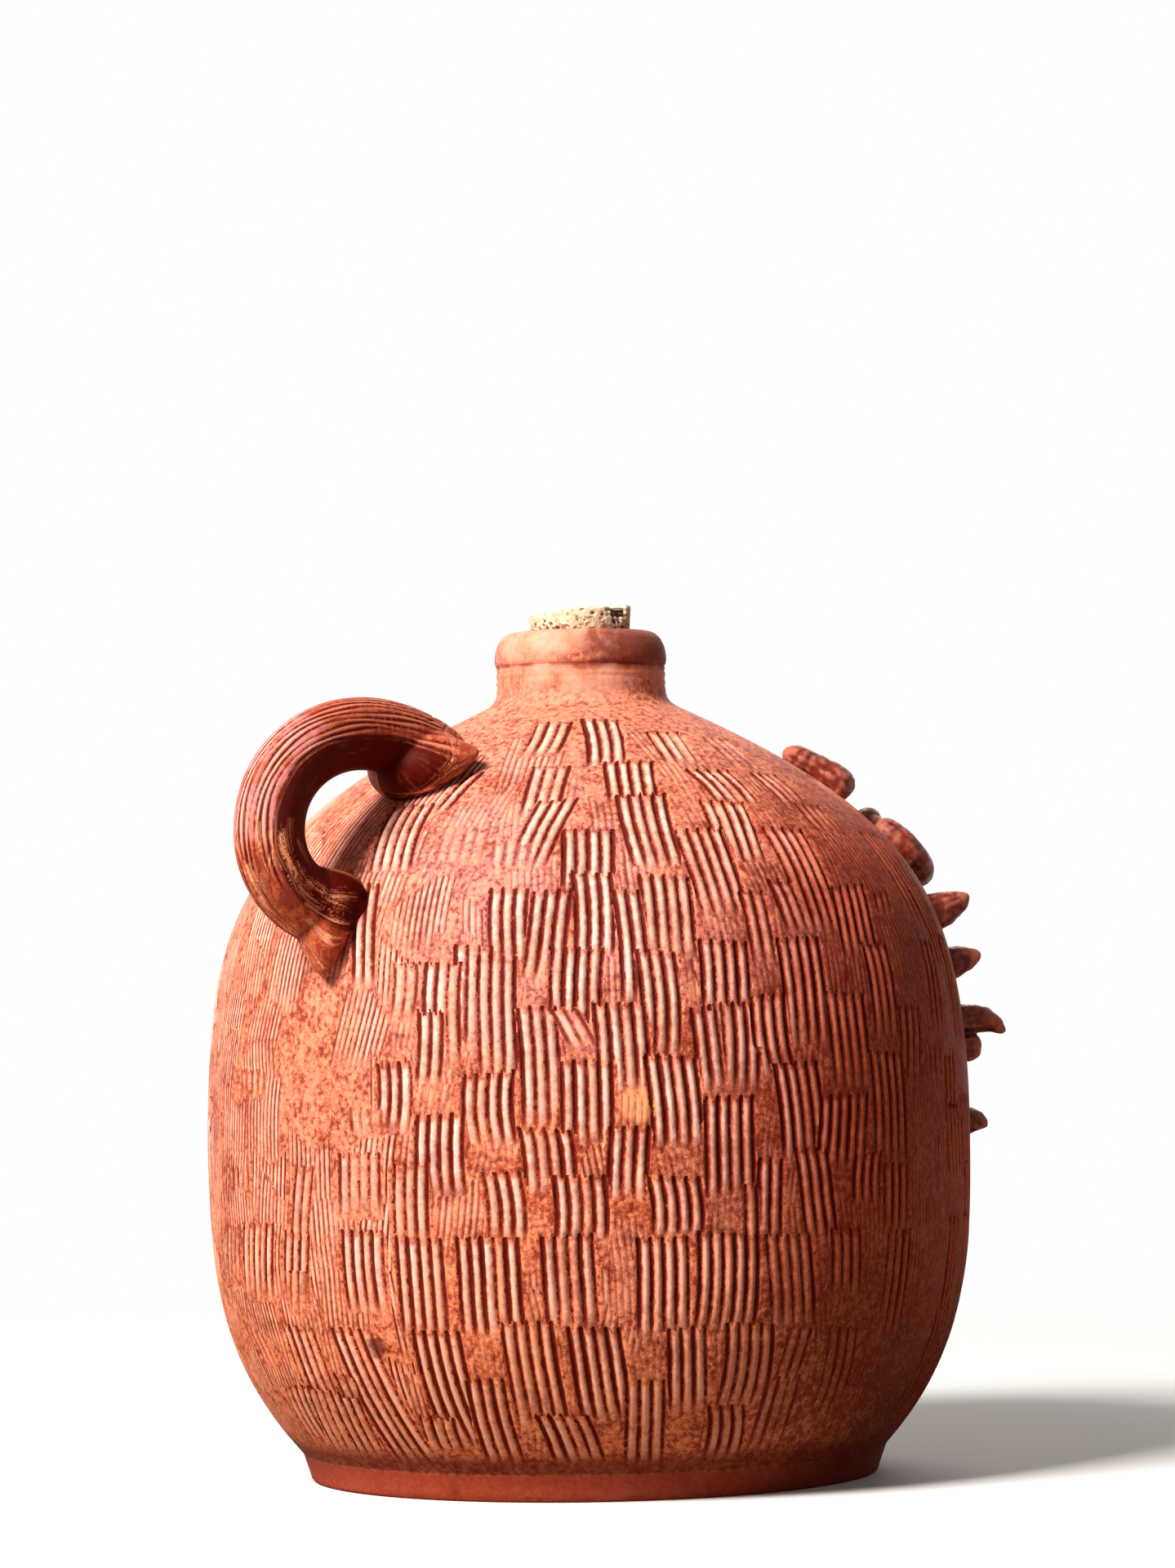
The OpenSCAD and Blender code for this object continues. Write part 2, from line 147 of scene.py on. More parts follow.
class Finish:
    """A material, or the world, whose nodes are written as lines of Python."""

    def __init__(self, name, owner=None):
        self.owner = owner or bpy.data.materials.new(name)
        self.owner.use_nodes = True
        self.tree = self.owner.node_tree
        self.tree.nodes.clear()

    def node(self, kind, settings=None, inputs=None, output=0):
        """Makes a node, sets it up, fills its sockets and returns one output, if it has any."""
        new = self.tree.nodes.new("ShaderNode" + kind)
        for name, value in (settings or {}).items():
            setattr(new, name, value)
        for name, value in (inputs or {}).items():
            if isinstance(value, Sum):
                self.tree.links.new(value.socket, new.inputs[name])
            else:
                new.inputs[name].default_value = value
        return Sum(self, new.outputs[output]) if new.outputs else None

    def place(self):
        return self.node("TexCoord", output="Object")

    def noise(self, scale, detail=3, roughness=0.5, at=None):
        return self.node("TexNoise", {}, {
            "Vector": at or self.place(), "Scale": scale, "Detail": detail, "Roughness": roughness})

    def stretched(self, scale):
        return self.node("Mapping", {}, {"Vector": self.place(), "Scale": scale})

    def smooth(self, value, low, high):
        """0 below low, 1 above high, and an eased slope between. Low may be the larger number."""
        if low > high:
            return 1 - self.smooth(value, high, low)
        return self.node("MapRange", {"interpolation_type": "SMOOTHSTEP"}, {0: value, 1: low, 2: high})

    def stored(self, name, output="Fac"):
        return self.node("Attribute", {"attribute_name": name}, output=output)

    def mix(self, one, other, share):
        return self.node("Mix", {"data_type": "RGBA"}, {0: share, 6: one, 7: other}, 2)

    def ragged(self, value, low, high, *breaks):
        """The same slope with its edge broken up. A break is a noise and how far it moves the edge."""
        for noise, reach in breaks:
            value = value + (noise - 0.5) * reach
        return self.smooth(value, low, high)

    def coats(self, base, *coats):
        """Brushes coats over a base in turn. A coat is red, green and blue, or one mixed colour, and how much
        of it shows."""
        for *colour, share in coats:
            base = self.mix(base, colour[0] if len(colour) == 1 else paint(*colour), share)
        return base

    def gap_to(self, spot):
        """The distance to a spot on the jug, in metres."""
        return self.node("VectorMath", {"operation": "DISTANCE"}, {0: self.place(), 1: spot}, "Value")

    def bump(self, height, distance, strength):
        return self.node("Bump", {}, {"Height": height, "Distance": distance, "Strength": strength}, "Normal")

    def surface(self, **inputs):
        """Ends the material in one Principled shader. A socket's name is written with _ for a space."""
        shader = self.node("BsdfPrincipled", {}, {n.replace("_", " "): v for n, v in inputs.items()})
        self.node("OutputMaterial", {}, {"Surface": shader})
        return self.owner


def paint(*screen):
    """Red, green and blue as a screen shows them, from 0 to 255, as Blender's linear colour."""
    return tuple(((c / 255 + 0.055) / 1.055) ** 2.4 if c > 10 else c / 3295 for c in screen) + (1,)


def backdrop(finish, shown, lit, share=1):
    """What the camera and reflections see, up to a share, over what lights the object."""
    seen = finish.node("LightPath", output="Is Camera Ray")
    for kind in ("Is Glossy Ray", "Is Transmission Ray"):
        seen = seen.math("MAXIMUM", seen, finish.node("LightPath", output=kind))
    return finish.node("MixShader", {}, {0: seen * share, 1: lit, 2: shown})


# %% Surroundings and floor
NEAR_FLOOR, FAR_FLOOR = 0.14, 0.7
surroundings = Finish("surroundings", world)
ambient = surroundings.node("Background", {}, {"Color": (1, 0.97, 0.95, 1), "Strength": 0.06})
white = surroundings.node("Background", {}, {"Color": (1, 1, 1, 1), "Strength": 1})
surroundings.node("OutputWorld", {}, {"Surface": backdrop(surroundings, white, ambient)})

floor_paint = Finish("floor")
seen = floor_paint.node("LightPath", output="Is Camera Ray")
shade = floor_paint.mix(paint(150, 134, 122), paint(236, 233, 229), seen)
pale = floor_paint.node("BsdfPrincipled", {}, {"Base Color": shade, "Roughness": 0.8})
bright = floor_paint.node("Emission", {}, {"Color": (1, 1, 1, 1), "Strength": 1})
far = floor_paint.node("VectorMath", {"operation": "LENGTH"}, {0: floor_paint.place()}, "Value")
shown = backdrop(floor_paint, bright, pale, floor_paint.smooth(far, NEAR_FLOOR, FAR_FLOOR))
floor_paint.node("OutputMaterial", {}, {"Surface": shown})
bpy.ops.object.select_all(action="DESELECT")
bpy.ops.mesh.primitive_plane_add(size=12)
floor = bpy.context.object
floor.name = "floor"
floor.data.materials.append(floor_paint.owner)
print("floor and white surroundings made")

# %% [markdown]
# ## A few hand tools
# Every piece is modelled as by hand: primitives are added and joined, edges bridged, modifiers applied.
# Because an operator acts on all that is selected, each tool first leaves only its own object selected.
#
# Tool marks are pressed in by numbers. For each vertex a function says how deep the tool went there. The
# numbers become a vertex group, and a Displace modifier with that group moves the surface along its
# normals.

# %% Tools
LEVELS = 1000


def only(*objects):
    """Leaves these objects selected, with the first one active."""
    bpy.ops.object.select_all(action="DESELECT")
    for obj in objects:
        obj.select_set(True)
    bpy.context.view_layer.objects.active = objects[0]


def modify(obj, kind, **settings):
    """Adds a modifier, sets it up and applies it."""
    only(obj)
    modifier = obj.modifiers.new(kind.title(), kind)
    for name, value in settings.items():
        setattr(modifier, name, value)
    bpy.ops.object.modifier_apply(modifier=modifier.name)


def places(obj):
    """The vertices of a mesh in mm, one row each."""
    flat = np.empty(3 * len(obj.data.vertices))
    obj.data.vertices.foreach_get("co", flat)
    return flat.reshape(-1, 3) / MM


def press(obj, depths, deepest):
    """Moves each vertex inwards by its own depth, in mm, with a vertex group and a Displace modifier."""
    group = obj.vertex_groups.new(name="press")
    levels = np.rint(np.clip(depths / deepest, 0, 1) * LEVELS).astype(int)
    order = np.argsort(levels, kind="stable")
    for some in np.split(order, np.flatnonzero(np.diff(levels[order])) + 1):
        if levels[some[0]]:
            group.add(some.tolist(), levels[some[0]] / LEVELS, "REPLACE")
    modify(obj, "DISPLACE", strength=-deepest * MM, mid_level=0, vertex_group="press")
    obj.vertex_groups.clear()


def uneven(obj, size, depth):
    """Makes a surface as uneven as clay that was shaped by hand, with lumps of a size in mm."""
    texture = bpy.data.textures.new("lumps", "CLOUDS")
    texture.noise_scale = size * MM
    texture.noise_basis = "ORIGINAL_PERLIN"
    modify(obj, "DISPLACE", texture=texture, texture_coords="LOCAL", strength=depth * MM, mid_level=0.5)


def remesh(obj, voxel, rounds):
    """Fuses the skins of a piece into one even mesh, as luting does, and smooths it."""
    modify(obj, "REMESH", mode="VOXEL", voxel_size=voxel * MM)
    modify(obj, "SMOOTH", factor=0.5, iterations=rounds)


def store(obj, name, values, kind="FLOAT", domain="POINT"):
    """Keeps a number or a vector for each vertex or face corner, for the finish to read."""
    attribute = obj.data.attributes.new(name, kind, domain)
    attribute.data.foreach_set("value" if kind == "FLOAT" else "vector", np.asarray(values, "f").ravel())


def smoothstep(value, low, high):
    t = np.clip((value - low) / (high - low), 0, 1)
    return t * t * (3 - 2 * t)


def triangles(obj):
    return sum(len(p.vertices) - 2 for p in obj.data.polygons)


def rims(obj, rounds=2):
    """How far each vertex stands out from its neighbours: 1 on a sharp edge, -1 in a crease."""
    points = places(obj)
    normals = np.empty(3 * len(points))
    obj.data.vertices.foreach_get("normal", normals)
    normals = normals.reshape(-1, 3)
    ends = np.empty(2 * len(obj.data.edges), int)
    obj.data.edges.foreach_get("vertices", ends)
    one, other = ends.reshape(-1, 2).T
    count = np.bincount(ends, minlength=len(points)).clip(1)

    def gathered(at_one, at_other):
        return np.bincount(one, at_one, len(points)) + np.bincount(other, at_other, len(points))

    way = points[other] - points[one]
    way /= np.maximum((way ** 2).sum(1), 1e-12)[:, None]
    lean = gathered(-(way * normals[one]).sum(1), (way * normals[other]).sum(1)) / count
    for _ in range(rounds):
        lean = 0.5 * lean + 0.5 * gathered(lean[other], lean[one]) / count
    return np.clip(lean * 2, -1, 1)


def edit(obj, *steps):
    """Runs mesh operators on a whole object in edit mode. A step is an operator and its settings."""
    only(obj)
    bpy.ops.object.mode_set(mode="EDIT")
    for operator, settings in steps:
        bpy.ops.mesh.select_all(action="SELECT")
        operator(**settings)
    bpy.ops.object.mode_set(mode="OBJECT")


OUTWARDS = (bpy.ops.mesh.normals_make_consistent, {"inside": False})
MERGED = (bpy.ops.mesh.remove_doubles, {"threshold": 1e-6})


def named(obj, name):
    obj.name = obj.data.name = name
    return obj


def drawn(name, line):
    """An outline drawn with extrude, point by point. The points are in mm, out from the axis and up."""
    bpy.ops.object.select_all(action="DESELECT")
    bpy.ops.mesh.primitive_plane_add(size=MM)
    bpy.ops.object.mode_set(mode="EDIT")
    bpy.ops.mesh.merge(type="CENTER")
    bpy.ops.transform.translate(value=(0, 0, line[0][1] * MM))
    for step in np.diff(line, axis=0) * MM:
        bpy.ops.mesh.extrude_region_move(TRANSFORM_OT_translate={"value": (step[0], 0, step[1])})
    bpy.ops.object.mode_set(mode="OBJECT")
    return named(bpy.context.object, name)


def loft(name, rings, sides):
    """Adds a circle for each ring, joins them and bridges them into one closed skin.
    A ring is its middle and its two half axes, as vectors in mm."""
    circles = []
    for middle, across, over in rings:
        bpy.ops.mesh.primitive_circle_add(vertices=sides, radius=MM, location=middle * MM)
        circle = bpy.context.object
        axes = [axis.normalized() for axis in (across, over, across.cross(over))]
        circle.rotation_euler = Matrix(axes).transposed().to_euler()
        circle.scale = (across.length, over.length, 1)
        circles.append(circle)
    obj = joined(name, *circles)
    bpy.ops.object.transform_apply(location=True, rotation=True, scale=True)
    bridged = (bpy.ops.mesh.bridge_edge_loops, {"type": "SINGLE"})
    closed = (bpy.ops.mesh.fill_holes, {"sides": 0})
    edit(obj, bridged, closed, OUTWARDS)
    return obj


def joined(name, *objects):
    """Several meshes as one piece."""
    only(*objects)
    if len(objects) > 1:
        bpy.ops.object.join()
    return named(bpy.context.object, name)


def settle(obj, body, slot, material, *nodes):
    """Gives a finished piece its finish and its body, and hides the CAD nodes that it stands for. The slot is
    not used.
    """
    obj.data.materials.clear()
    obj.data.materials.append(material)
    only(obj)
    bpy.ops.object.shade_smooth_by_angle(angle=math.radians(62))
    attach(obj, body)
    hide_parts(*nodes)
    print(f"{obj.name}: {triangles(obj)} triangles")


# %% [markdown]
# ## The outline of the pot
# A thrown pot is one outline turned about an axis. Two Bezier curves give it: from the foot to the widest
# part of the belly, and from there to the hollow under the neck. They have the same points as the CAD
# source. Everything that sits on the wall later asks this outline for its radius and its slope.

# %% Outline
BELLY_R, BELLY_Z = 89.5, 77
FOOT_R, FOOT_H, FOOT_FLARE, FOOT_EDGE = 66.5, 6.2, 1.8, 1
SHOULDER_Z = 183.4
NECK_R, FILLET = 20, 4
RISE = SHOULDER_Z - BELLY_Z
WALL, INNER_FLOOR = 6.5, 7
FOOT_ANGLE, SHOULDER_ANGLE = math.radians(48), math.radians(25)
BELLY = (BELLY_R, BELLY_Z)
FOOT_TOP = (FOOT_R + FOOT_FLARE, FOOT_H)
HOLLOW = (NECK_R + FILLET * (1 - math.sin(SHOULDER_ANGLE)), SHOULDER_Z - FILLET * math.cos(SHOULDER_ANGLE))
FOOT_PULL, LOW_PULL, HIGH_PULL, SHOULDER_PULL = 0.35 * BELLY_Z, 0.41 * BELLY_Z, 0.527 * RISE, 0.604 * RISE


def towards(angle, length):
    return length * np.array([math.cos(angle), math.sin(angle)])


def bezier(points, t):
    """The place on a curve with two ends and two pulls, where t runs from 0 to 1."""
    a, b, c, d = (np.array(p, float) for p in points)
    t = np.asarray(t, float)[..., None]
    return (1 - t) ** 3 * a + 3 * (1 - t) ** 2 * t * b + 3 * (1 - t) * t ** 2 * c + t ** 3 * d


def heading(points, t, step=0.01):
    """The direction of the same curve, as a unit vector."""
    way = bezier(points, np.clip(t + step, 0, 1)) - bezier(points, np.clip(t - step, 0, 1))
    return way / np.linalg.norm(way, axis=-1, keepdims=True)


LOW = [FOOT_TOP, FOOT_TOP + towards(FOOT_ANGLE, FOOT_PULL), (BELLY_R, BELLY_Z - LOW_PULL), BELLY]
HIGH = [BELLY, (BELLY_R, BELLY_Z + HIGH_PULL), HOLLOW + towards(-SHOULDER_ANGLE, SHOULDER_PULL), HOLLOW]
fine = np.linspace(0, 1, 400)
wall_line = np.concatenate([bezier(LOW, fine), bezier(HIGH, fine)[1:]])
wall_arc = np.concatenate([[0], np.cumsum(np.hypot(*np.diff(wall_line, axis=0).T))])


def radius(z):
    return np.interp(z, wall_line[:, 1], wall_line[:, 0])


def arc(z):
    """Length along the wall from the foot up to a height."""
    return np.interp(z, wall_line[:, 1], wall_arc)


def turn_of(length, z):
    """The turn, in degrees, that a length takes up round the wall."""
    return math.degrees(length / float(radius(z)))


def turns_of(points):
    return np.degrees(np.arctan2(points[:, 1], points[:, 0]))


def short_way(turn):
    """A turn as an angle from -180 to 180."""
    return (turn + 180) % 360 - 180


def out_of(turn, z, step=1.6):
    """The direction straight out of the wall."""
    slope = float(radius(z + step) - radius(z - step)) / (2 * step)
    a = math.radians(turn)
    return Vector((math.cos(a), math.sin(a), -slope)).normalized()


def along(turn):
    a = math.radians(turn)
    return Vector((-math.sin(a), math.cos(a), 0))


def on_wall(turn, z, lift=0.0):
    a, r = math.radians(turn), float(radius(z))
    return Vector((r * math.cos(a), r * math.sin(a), z)) + lift * out_of(turn, z)


print("wall length from foot to neck:", round(float(wall_arc[-1]), 1), "mm")

# %% [markdown]
# ## The combed strokes
# On the real jug the wall was beaten and combed in short patches while it was leather-hard. A comb with
# four or five teeth is pressed in, drawn down for two centimetres and lifted, so each patch has a crisp
# upper edge and fades out below. Where patches meet, the later one wins.
#
# The patches that the photograph shows are listed here, as a potter would describe them: where the
# stroke starts, where it ends, how far it leans, the number of teeth and the pressure. The side that the
# photograph doesn't show gets rows of the same patches, with their places drawn by a seeded generator. A
# light first combing with a finer comb lies under them all, and the owl's wings, cheeks and tail are combed
# as feathers.

# %% Comb strokes
PITCH, FINE_PITCH = 2.75, 1.5
RIDGE = 0.12  # how far the comb throws up the clay between its teeth
SEEN = [  # turn, upper height, lower height, lean in degrees, teeth, pressure
    (214, 175, 167.5, -1.5, 4, .6), (233.5, 175.5, 166, -2, 4, 1), (255, 172.5, 165, -2.5, 4, .7),
    (276, 171, 164, -3, 4, .4), (217, 164.5, 154, -.6, 4, .6), (220, 156.5, 142.5, -4.5, 4, .7),
    (237.5, 164.8, 157, -2, 5, 1), (258, 163, 156, .8, 5, .9), (275, 162.5, 154.5, -.5, 4, .5),
    (237.5, 157, 143, -.3, 5, 1), (254.7, 155.8, 143.5, -1.2, 5, .9), (278, 155, 149, 0, 4, .45),
    (226, 149.5, 138, -.6, 5, 1), (226.3, 140, 124, 0, 4, .95), (246.7, 149, 131.5, .5, 5, 1),
    (265, 149, 129, 0, 5, .9), (202.5, 150, 142, .5, 5, .3), (212, 147, 141, .6, 4, .35),
    (238, 138.5, 122, 0, 5, 1), (231.7, 136, 113, .3, 3, .9), (213, 136, 120, .4, 4, .85),
    (220, 135.5, 119, -1.5, 4, .9), (258.5, 137, 126, 1.2, 3, .7), (252.5, 134.7, 121, .3, 3, .7),
    (273.5, 136.5, 121, -1.8, 5, .8), (282, 135, 130, -1, 3, .4), (224, 123, 103, -1, 5, 1),
    (235.5, 122.5, 101.5, 0, 4, 1), (246, 124, 110, 0, 5, 1), (246.5, 110, 92, 0, 5, .65),
    (259, 124, 102.5, 0, 5, .85), (252.5, 112, 96, .5, 4, .85), (208, 124.5, 104, .2, 4, .8),
    (203.5, 120, 100, .2, 4, .65), (211.8, 121, 97, .3, 4, .9), (275, 123, 103, 0, 4, .7),
    (217.7, 111, 86, .8, 4, 1), (221.7, 109.5, 101, 3, 3, .45), (229.7, 111.5, 93, .6, 5, .95),
    (242, 109, 93, 1, 3, .7), (266.7, 112, 93, 0, 5, .85), (281, 108.5, 92, -1, 4, .5),
    (288, 100, 92, 0, 3, .35), (201.5, 110, 96, .4, 3, .75), (224.7, 98, 81.5, .3, 5, 1),
    (237, 99, 82, .5, 5, 1), (210.8, 96.5, 81.5, .3, 5, .95), (256.3, 97.5, 78, 1, 5, .9),
    (258.3, 78, 60, 2, 4, .8), (264.8, 89.5, 75.5, -.6, 6, .85), (274.3, 99, 76, 0, 5, .75),
    (245.5, 89.5, 71, -.3, 5, .9), (203.5, 87.5, 71, 0, 5, .9), (230.7, 84.5, 70.5, -.3, 4, .85),
    (218.5, 84, 72, 1.2, 5, .95), (196, 98, 84, 0, 4, .6), (191.5, 88, 83, 0, 4, .35),
    (166, 97, 91, 0, 5, .35), (198.6, 77, 62, 0, 4, .9), (212.3, 75, 60.5, .8, 4, .8),
    (223.5, 74, 61, .2, 5, .9), (237, 73, 62, .4, 5, 1), (251.5, 75.5, 60, 0, 3, .8),
    (248.5, 71, 50, 0, 2, .7), (190, 79, 65, 0, 5, .5), (179.5, 76, 46, -3.5, 3, .55),
    (161, 75, 70, 0, 5, .4), (269.5, 76.5, 67, -.6, 4, .7), (275.7, 73, 60.5, -.5, 4, .75),
    (221.7, 60, 41, .3, 5, 1), (235, 60, 40, .6, 5, .95), (245, 60.5, 40, -.2, 6, .9),
    (210, 59.7, 41, .4, 6, .9), (199.6, 60.5, 41, 0, 5, .9), (190, 62, 45, .3, 5, .85),
    (177, 61, 46, -1, 4, .6), (167, 62.5, 46, -2, 6, .55), (158.5, 61.5, 48, -2.5, 4, .4),
    (254.5, 59.5, 40, 1.5, 5, .7), (264.5, 60, 47, 1, 4, .6), (276.5, 59, 35, 0, 4, .6),
    (215.5, 41, 19.5, 1, 5, .95), (225, 39.7, 21, 2.2, 5, 1), (201, 40, 17, 2, 5, .95),
    (186, 39, 12.5, 4.5, 5, .8), (174, 39, 25, 1.3, 5, .7), (161, 37, 30, 1.5, 3, .35),
    (239, 39.5, 22, 1, 4, .7), (249, 40, 23.5, 0, 5, .65), (257.5, 38, 24, -1, 3, .5),
    (266, 38, 20, .5, 4, .45), (168.5, 25, 12.5, -1.3, 5, .6), (174.7, 25, 12, -1.3, 4, .7),
    (180.5, 25, 12, 0, 4, .75), (182, 29, 21, 1, 3, .7), (198, 20, 12, .5, 4, .8),
    (208, 29, 11.5, .8, 4, .85), (219.7, 20, 11, 2.5, 5, .85), (233, 28.5, 11, .7, 4, .75),
    (246.7, 22, 10.5, 1.5, 4, .7), (256, 28, 12, .5, 4, .45), (187, 156, 143, 2.5, 5, .9),
    (187, 138, 119, 2.5, 3, 1), (198, 163, 155, -3, 2, .9), (197, 120, 109, .3, 3, .45),
]
OWL_HALF, OWL_LOW, OWL_HIGH = 57, 74, 172
UNSEEN_FROM, UNSEEN_TO, FAINT_FROM = 291, 510, 135
BARE_TURNS, BARE_HEIGHTS = (170, 190), (80, 110)
UNSEEN_ROWS = [(174, 9), (164, 9), (156, 13), (148, 16), (137, 16), (124, 20), (111, 17), (98, 17), (87, 15),
               (75, 15), (60, 20), (40, 20), (27, 15)]  # upper height and length
LOWEST = 11


def clear_of_owl(turn, upper, lower):
    """True where a stroke misses the owl."""
    return not (abs(short_way(turn)) < OWL_HALF and upper > OWL_LOW and lower < OWL_HIGH)


def unseen_strokes(rng):
    """Rows of patches round the rest of the jug."""
    strokes = []
    for upper, length in UNSEEN_ROWS:
        step = turn_of(5 * PITCH, upper - length / 2)
        turn = UNSEEN_FROM + rng.uniform(0, step)
        while turn < UNSEEN_TO - step:
            top_z = upper + rng.uniform(-3, 1.5)
            low_z = max(top_z - length * rng.uniform(0.8, 1.15), LOWEST)
            if clear_of_owl(turn, top_z, low_z) and rng.random() > 0.1:
                lean, teeth, pressure = rng.uniform(-1.5, 1.5), int(rng.integers(3, 6)), rng.uniform(0.5, 1)
                strokes.append((turn, top_z, low_z, lean, teeth, pressure))
            turn += step * rng.uniform(0.85, 1.25)
    return strokes


def faint_strokes(rng):
    """A first light combing under all the others."""
    strokes = []
    for upper in range(168, 18, -11):
        step = turn_of(10 * FINE_PITCH, upper)
        turn = FAINT_FROM + rng.uniform(0, step)
        while turn < FAINT_FROM + 360:
            low_z = max(upper - rng.uniform(12, 20), LOWEST)
            beside = BARE_TURNS[0] < turn < BARE_TURNS[1]
            bare = beside and upper > BARE_HEIGHTS[0] and low_z < BARE_HEIGHTS[1]
            if clear_of_owl(turn, upper, low_z) and not bare:
                top_z, lean = upper + rng.uniform(-4, 4), rng.uniform(-2, 2)
                light = 0.2 if turn < 200 else 0
                strokes.append((turn, top_z, low_z, lean, 10, light + rng.uniform(0.15, 0.36)))
            turn += step * rng.uniform(0.9, 1.3)
    return strokes


def owl_strokes():
    """The comb as feathers: two rows down each wing, the cheeks, and the tail between the feet."""
    one_wing = [(35, 127, 110, 2.5, 4, .8), (26.5, 121, 102, 3, 4, .8), (36, 108, 91, 2, 4, .8),
                (27.5, 100, 84, 2.5, 4, .75), (35.5, 89.5, 75, 1.5, 4, .7), (26, 142, 128, -5, 4, .6),
                (10.5, 141, 127, -2.5, 4, .6), (17, 167, 160, 2, 4, .5)]
    strokes = [(side * turn, top, low, side * lean, teeth, pressure)
               for side in (-1, 1) for turn, top, low, lean, teeth, pressure in one_wing]
    return strokes + [(0, 89, 70, 0, 5, .8)]


rng = np.random.default_rng(7)
faint = faint_strokes(rng)
strokes = faint + SEEN + unseen_strokes(rng) + owl_strokes()
quirks = rng.uniform(-1, 1, (len(strokes), 4))
table = np.array(strokes)
upper_arc, lower_arc = arc(table[:, 1]), arc(table[:, 2])
print("comb strokes:", len(strokes))


def read_stroke(number, turns, z):
    """Where points lie in the strokes with these numbers: the place across the teeth, how far inside the
    sides, how far below the upper edge, and the pressure left there."""
    turn, _, _, lean, teeth, pressure = table[number].T
    start, end = upper_arc[number], lower_arc[number]
    odd, bow, swing, skew = quirks[number].T
    below = start - arc(z)
    share = below / (start - end)
    away = short_way(turns - turn) - lean * share - bow * share * (1 - share)
    pitch = np.where(number < len(faint), FINE_PITCH, PITCH)
    # The hand sways a little on the way down
    across = away * math.pi / 180 * radius(z) / pitch + 0.09 * np.sin(3.5 * share + 3 * swing)
    inside = teeth / 2 - np.abs(across)
    teeth_line = across - 0.5 * (teeth % 2 == 0)
    # The comb is set down askew, with rounded teeth that don't all start at one height
    below = below + 0.6 * skew * across / teeth + 0.5 * np.cos(2 * math.pi * teeth_line)
    ragged = np.where(number < len(faint), 4, 0.6)
    below = below + ragged * np.sin(12.9 * np.round(teeth_line) + 5 * swing)
    return teeth_line, inside, below, pressure * (1 - smoothstep(share, 0.62 + 0.15 * odd, 1.4))


def winners(points):
    """The number of the stroke that shows at each point of the wall, or -1."""
    turns, z = turns_of(points), points[:, 2]
    best, number = np.full(len(points), 0.02), np.full(len(points), -1)
    for i, (turn, upper, lower, *_) in enumerate(strokes):
        fading = lower - 0.4 * (upper - lower)
        near = np.flatnonzero((z < upper + 2) & (z > fading) & (abs(short_way(turns - turn)) < 30))
        _, inside, below, pressure = read_stroke(np.full(len(near), i), turns[near], z[near])
        first = 0.3 if i < len(faint) else 1  # the first light combing gives way to any other
        score = first * smoothstep(inside, -0.1, 0.25) * smoothstep(below, -0.3, 0.5) * pressure / table[i, 5]
        score += 1e-4 * i / len(strokes)  # a later stroke wins over an equal one
        wins = (score > best[near]) & (inside > -0.1) & (below > -0.3)
        best[near[wins]] = score[wins]
        number[near[wins]] = i
    return number


def stroke_depth(points):
    """How deep the comb went, in mm."""
    number = winners(points)
    line, inside, below, pressure = read_stroke(number, turns_of(points), points[:, 2])
    tooth = (0.5 + 0.5 * np.cos(2 * math.pi * line)) ** 1.8
    held = pressure * smoothstep(inside, -0.05, 0.3) * smoothstep(below, -0.3, 0.6) * (number >= 0)
    bite = np.where(number < len(faint), 0.45, 0.85)
    return held * (bite * tooth - RIDGE * (1 - tooth) ** 2 * smoothstep(below, 0.3, 2))


# %% [markdown]
# ## The pot
# A thrown pot could be a Screw of its outline with a texture for the combing, but a texture has no edge
# against the light. Here the combing is real: the outline is drawn vertex by vertex with extrude, every
# 0.75 mm on the outside, turned by a Screw modifier in half-millimetre columns, and pressed by the comb
# function. A Decimate modifier then thins the smooth places and keeps the vertices along the ridges.

# %% Turn the pot
def steps(n, start=0):
    return np.linspace(start, 1, n + 1)


def offset(points, t, by):
    """Points of an outline curve, moved into the clay."""
    way = heading(points, t, 1e-3)
    return bezier(points, t) + by * np.stack([-way[:, 1], way[:, 0]], 1)


LINE_Z = SHOULDER_Z + 5.2
COLLAR_Z = LINE_Z + 1
LIP_H = 7.8
LIP_Z = COLLAR_Z + LIP_H
LIP_R, COLLAR_R, BORE_R, BORE_EDGE = 15.2, 20.3, 11.75, 1
COLUMNS = 1120
rows = np.arange(0, wall_arc[-1], 0.75)
outside = np.stack([np.interp(rows, wall_arc, wall_line[:, k]) for k in (0, 1)], 1)
bend = np.radians(245 - 65 * steps(10))
neck = np.stack([NECK_R + FILLET * (1 + np.cos(bend)), SHOULDER_Z + FILLET * np.sin(bend)], 1)
straight = np.stack([np.full(8, NECK_R), np.linspace(SHOULDER_Z + 0.6, LINE_Z, 8)], 1)
straight[:, 0] -= 0.13 - 0.13 * np.sin(straight[:, 1] * 3.4)  # throwing rings
line = [(NECK_R - 0.12, LINE_Z + 0.2), (NECK_R - 0.22, LINE_Z + 0.5), (NECK_R - 0.05, LINE_Z + 0.8),
        (NECK_R + 0.15, COLLAR_Z + 0.1)]
widest = COLLAR_Z + 0.12 * LIP_H
lip = bezier([(COLLAR_R, widest), (COLLAR_R, widest + 0.5 * LIP_H),
              (LIP_R + 0.66 * (COLLAR_R - LIP_R), LIP_Z), (LIP_R, LIP_Z)], steps(16))
edge_turn = np.radians(90 * steps(6))
mouth = np.stack([BORE_R + BORE_EDGE - np.sin(edge_turn), LIP_Z - BORE_EDGE + np.cos(edge_turn)], 1)
inner_high = offset(HIGH, steps(24), WALL)[::-1]
inner_low = offset(LOW, steps(14), WALL)[::-1]
bore_end = (BORE_R, inner_high[0][1] + (inner_high[0][0] - BORE_R) * math.tan(SHOULDER_ANGLE))
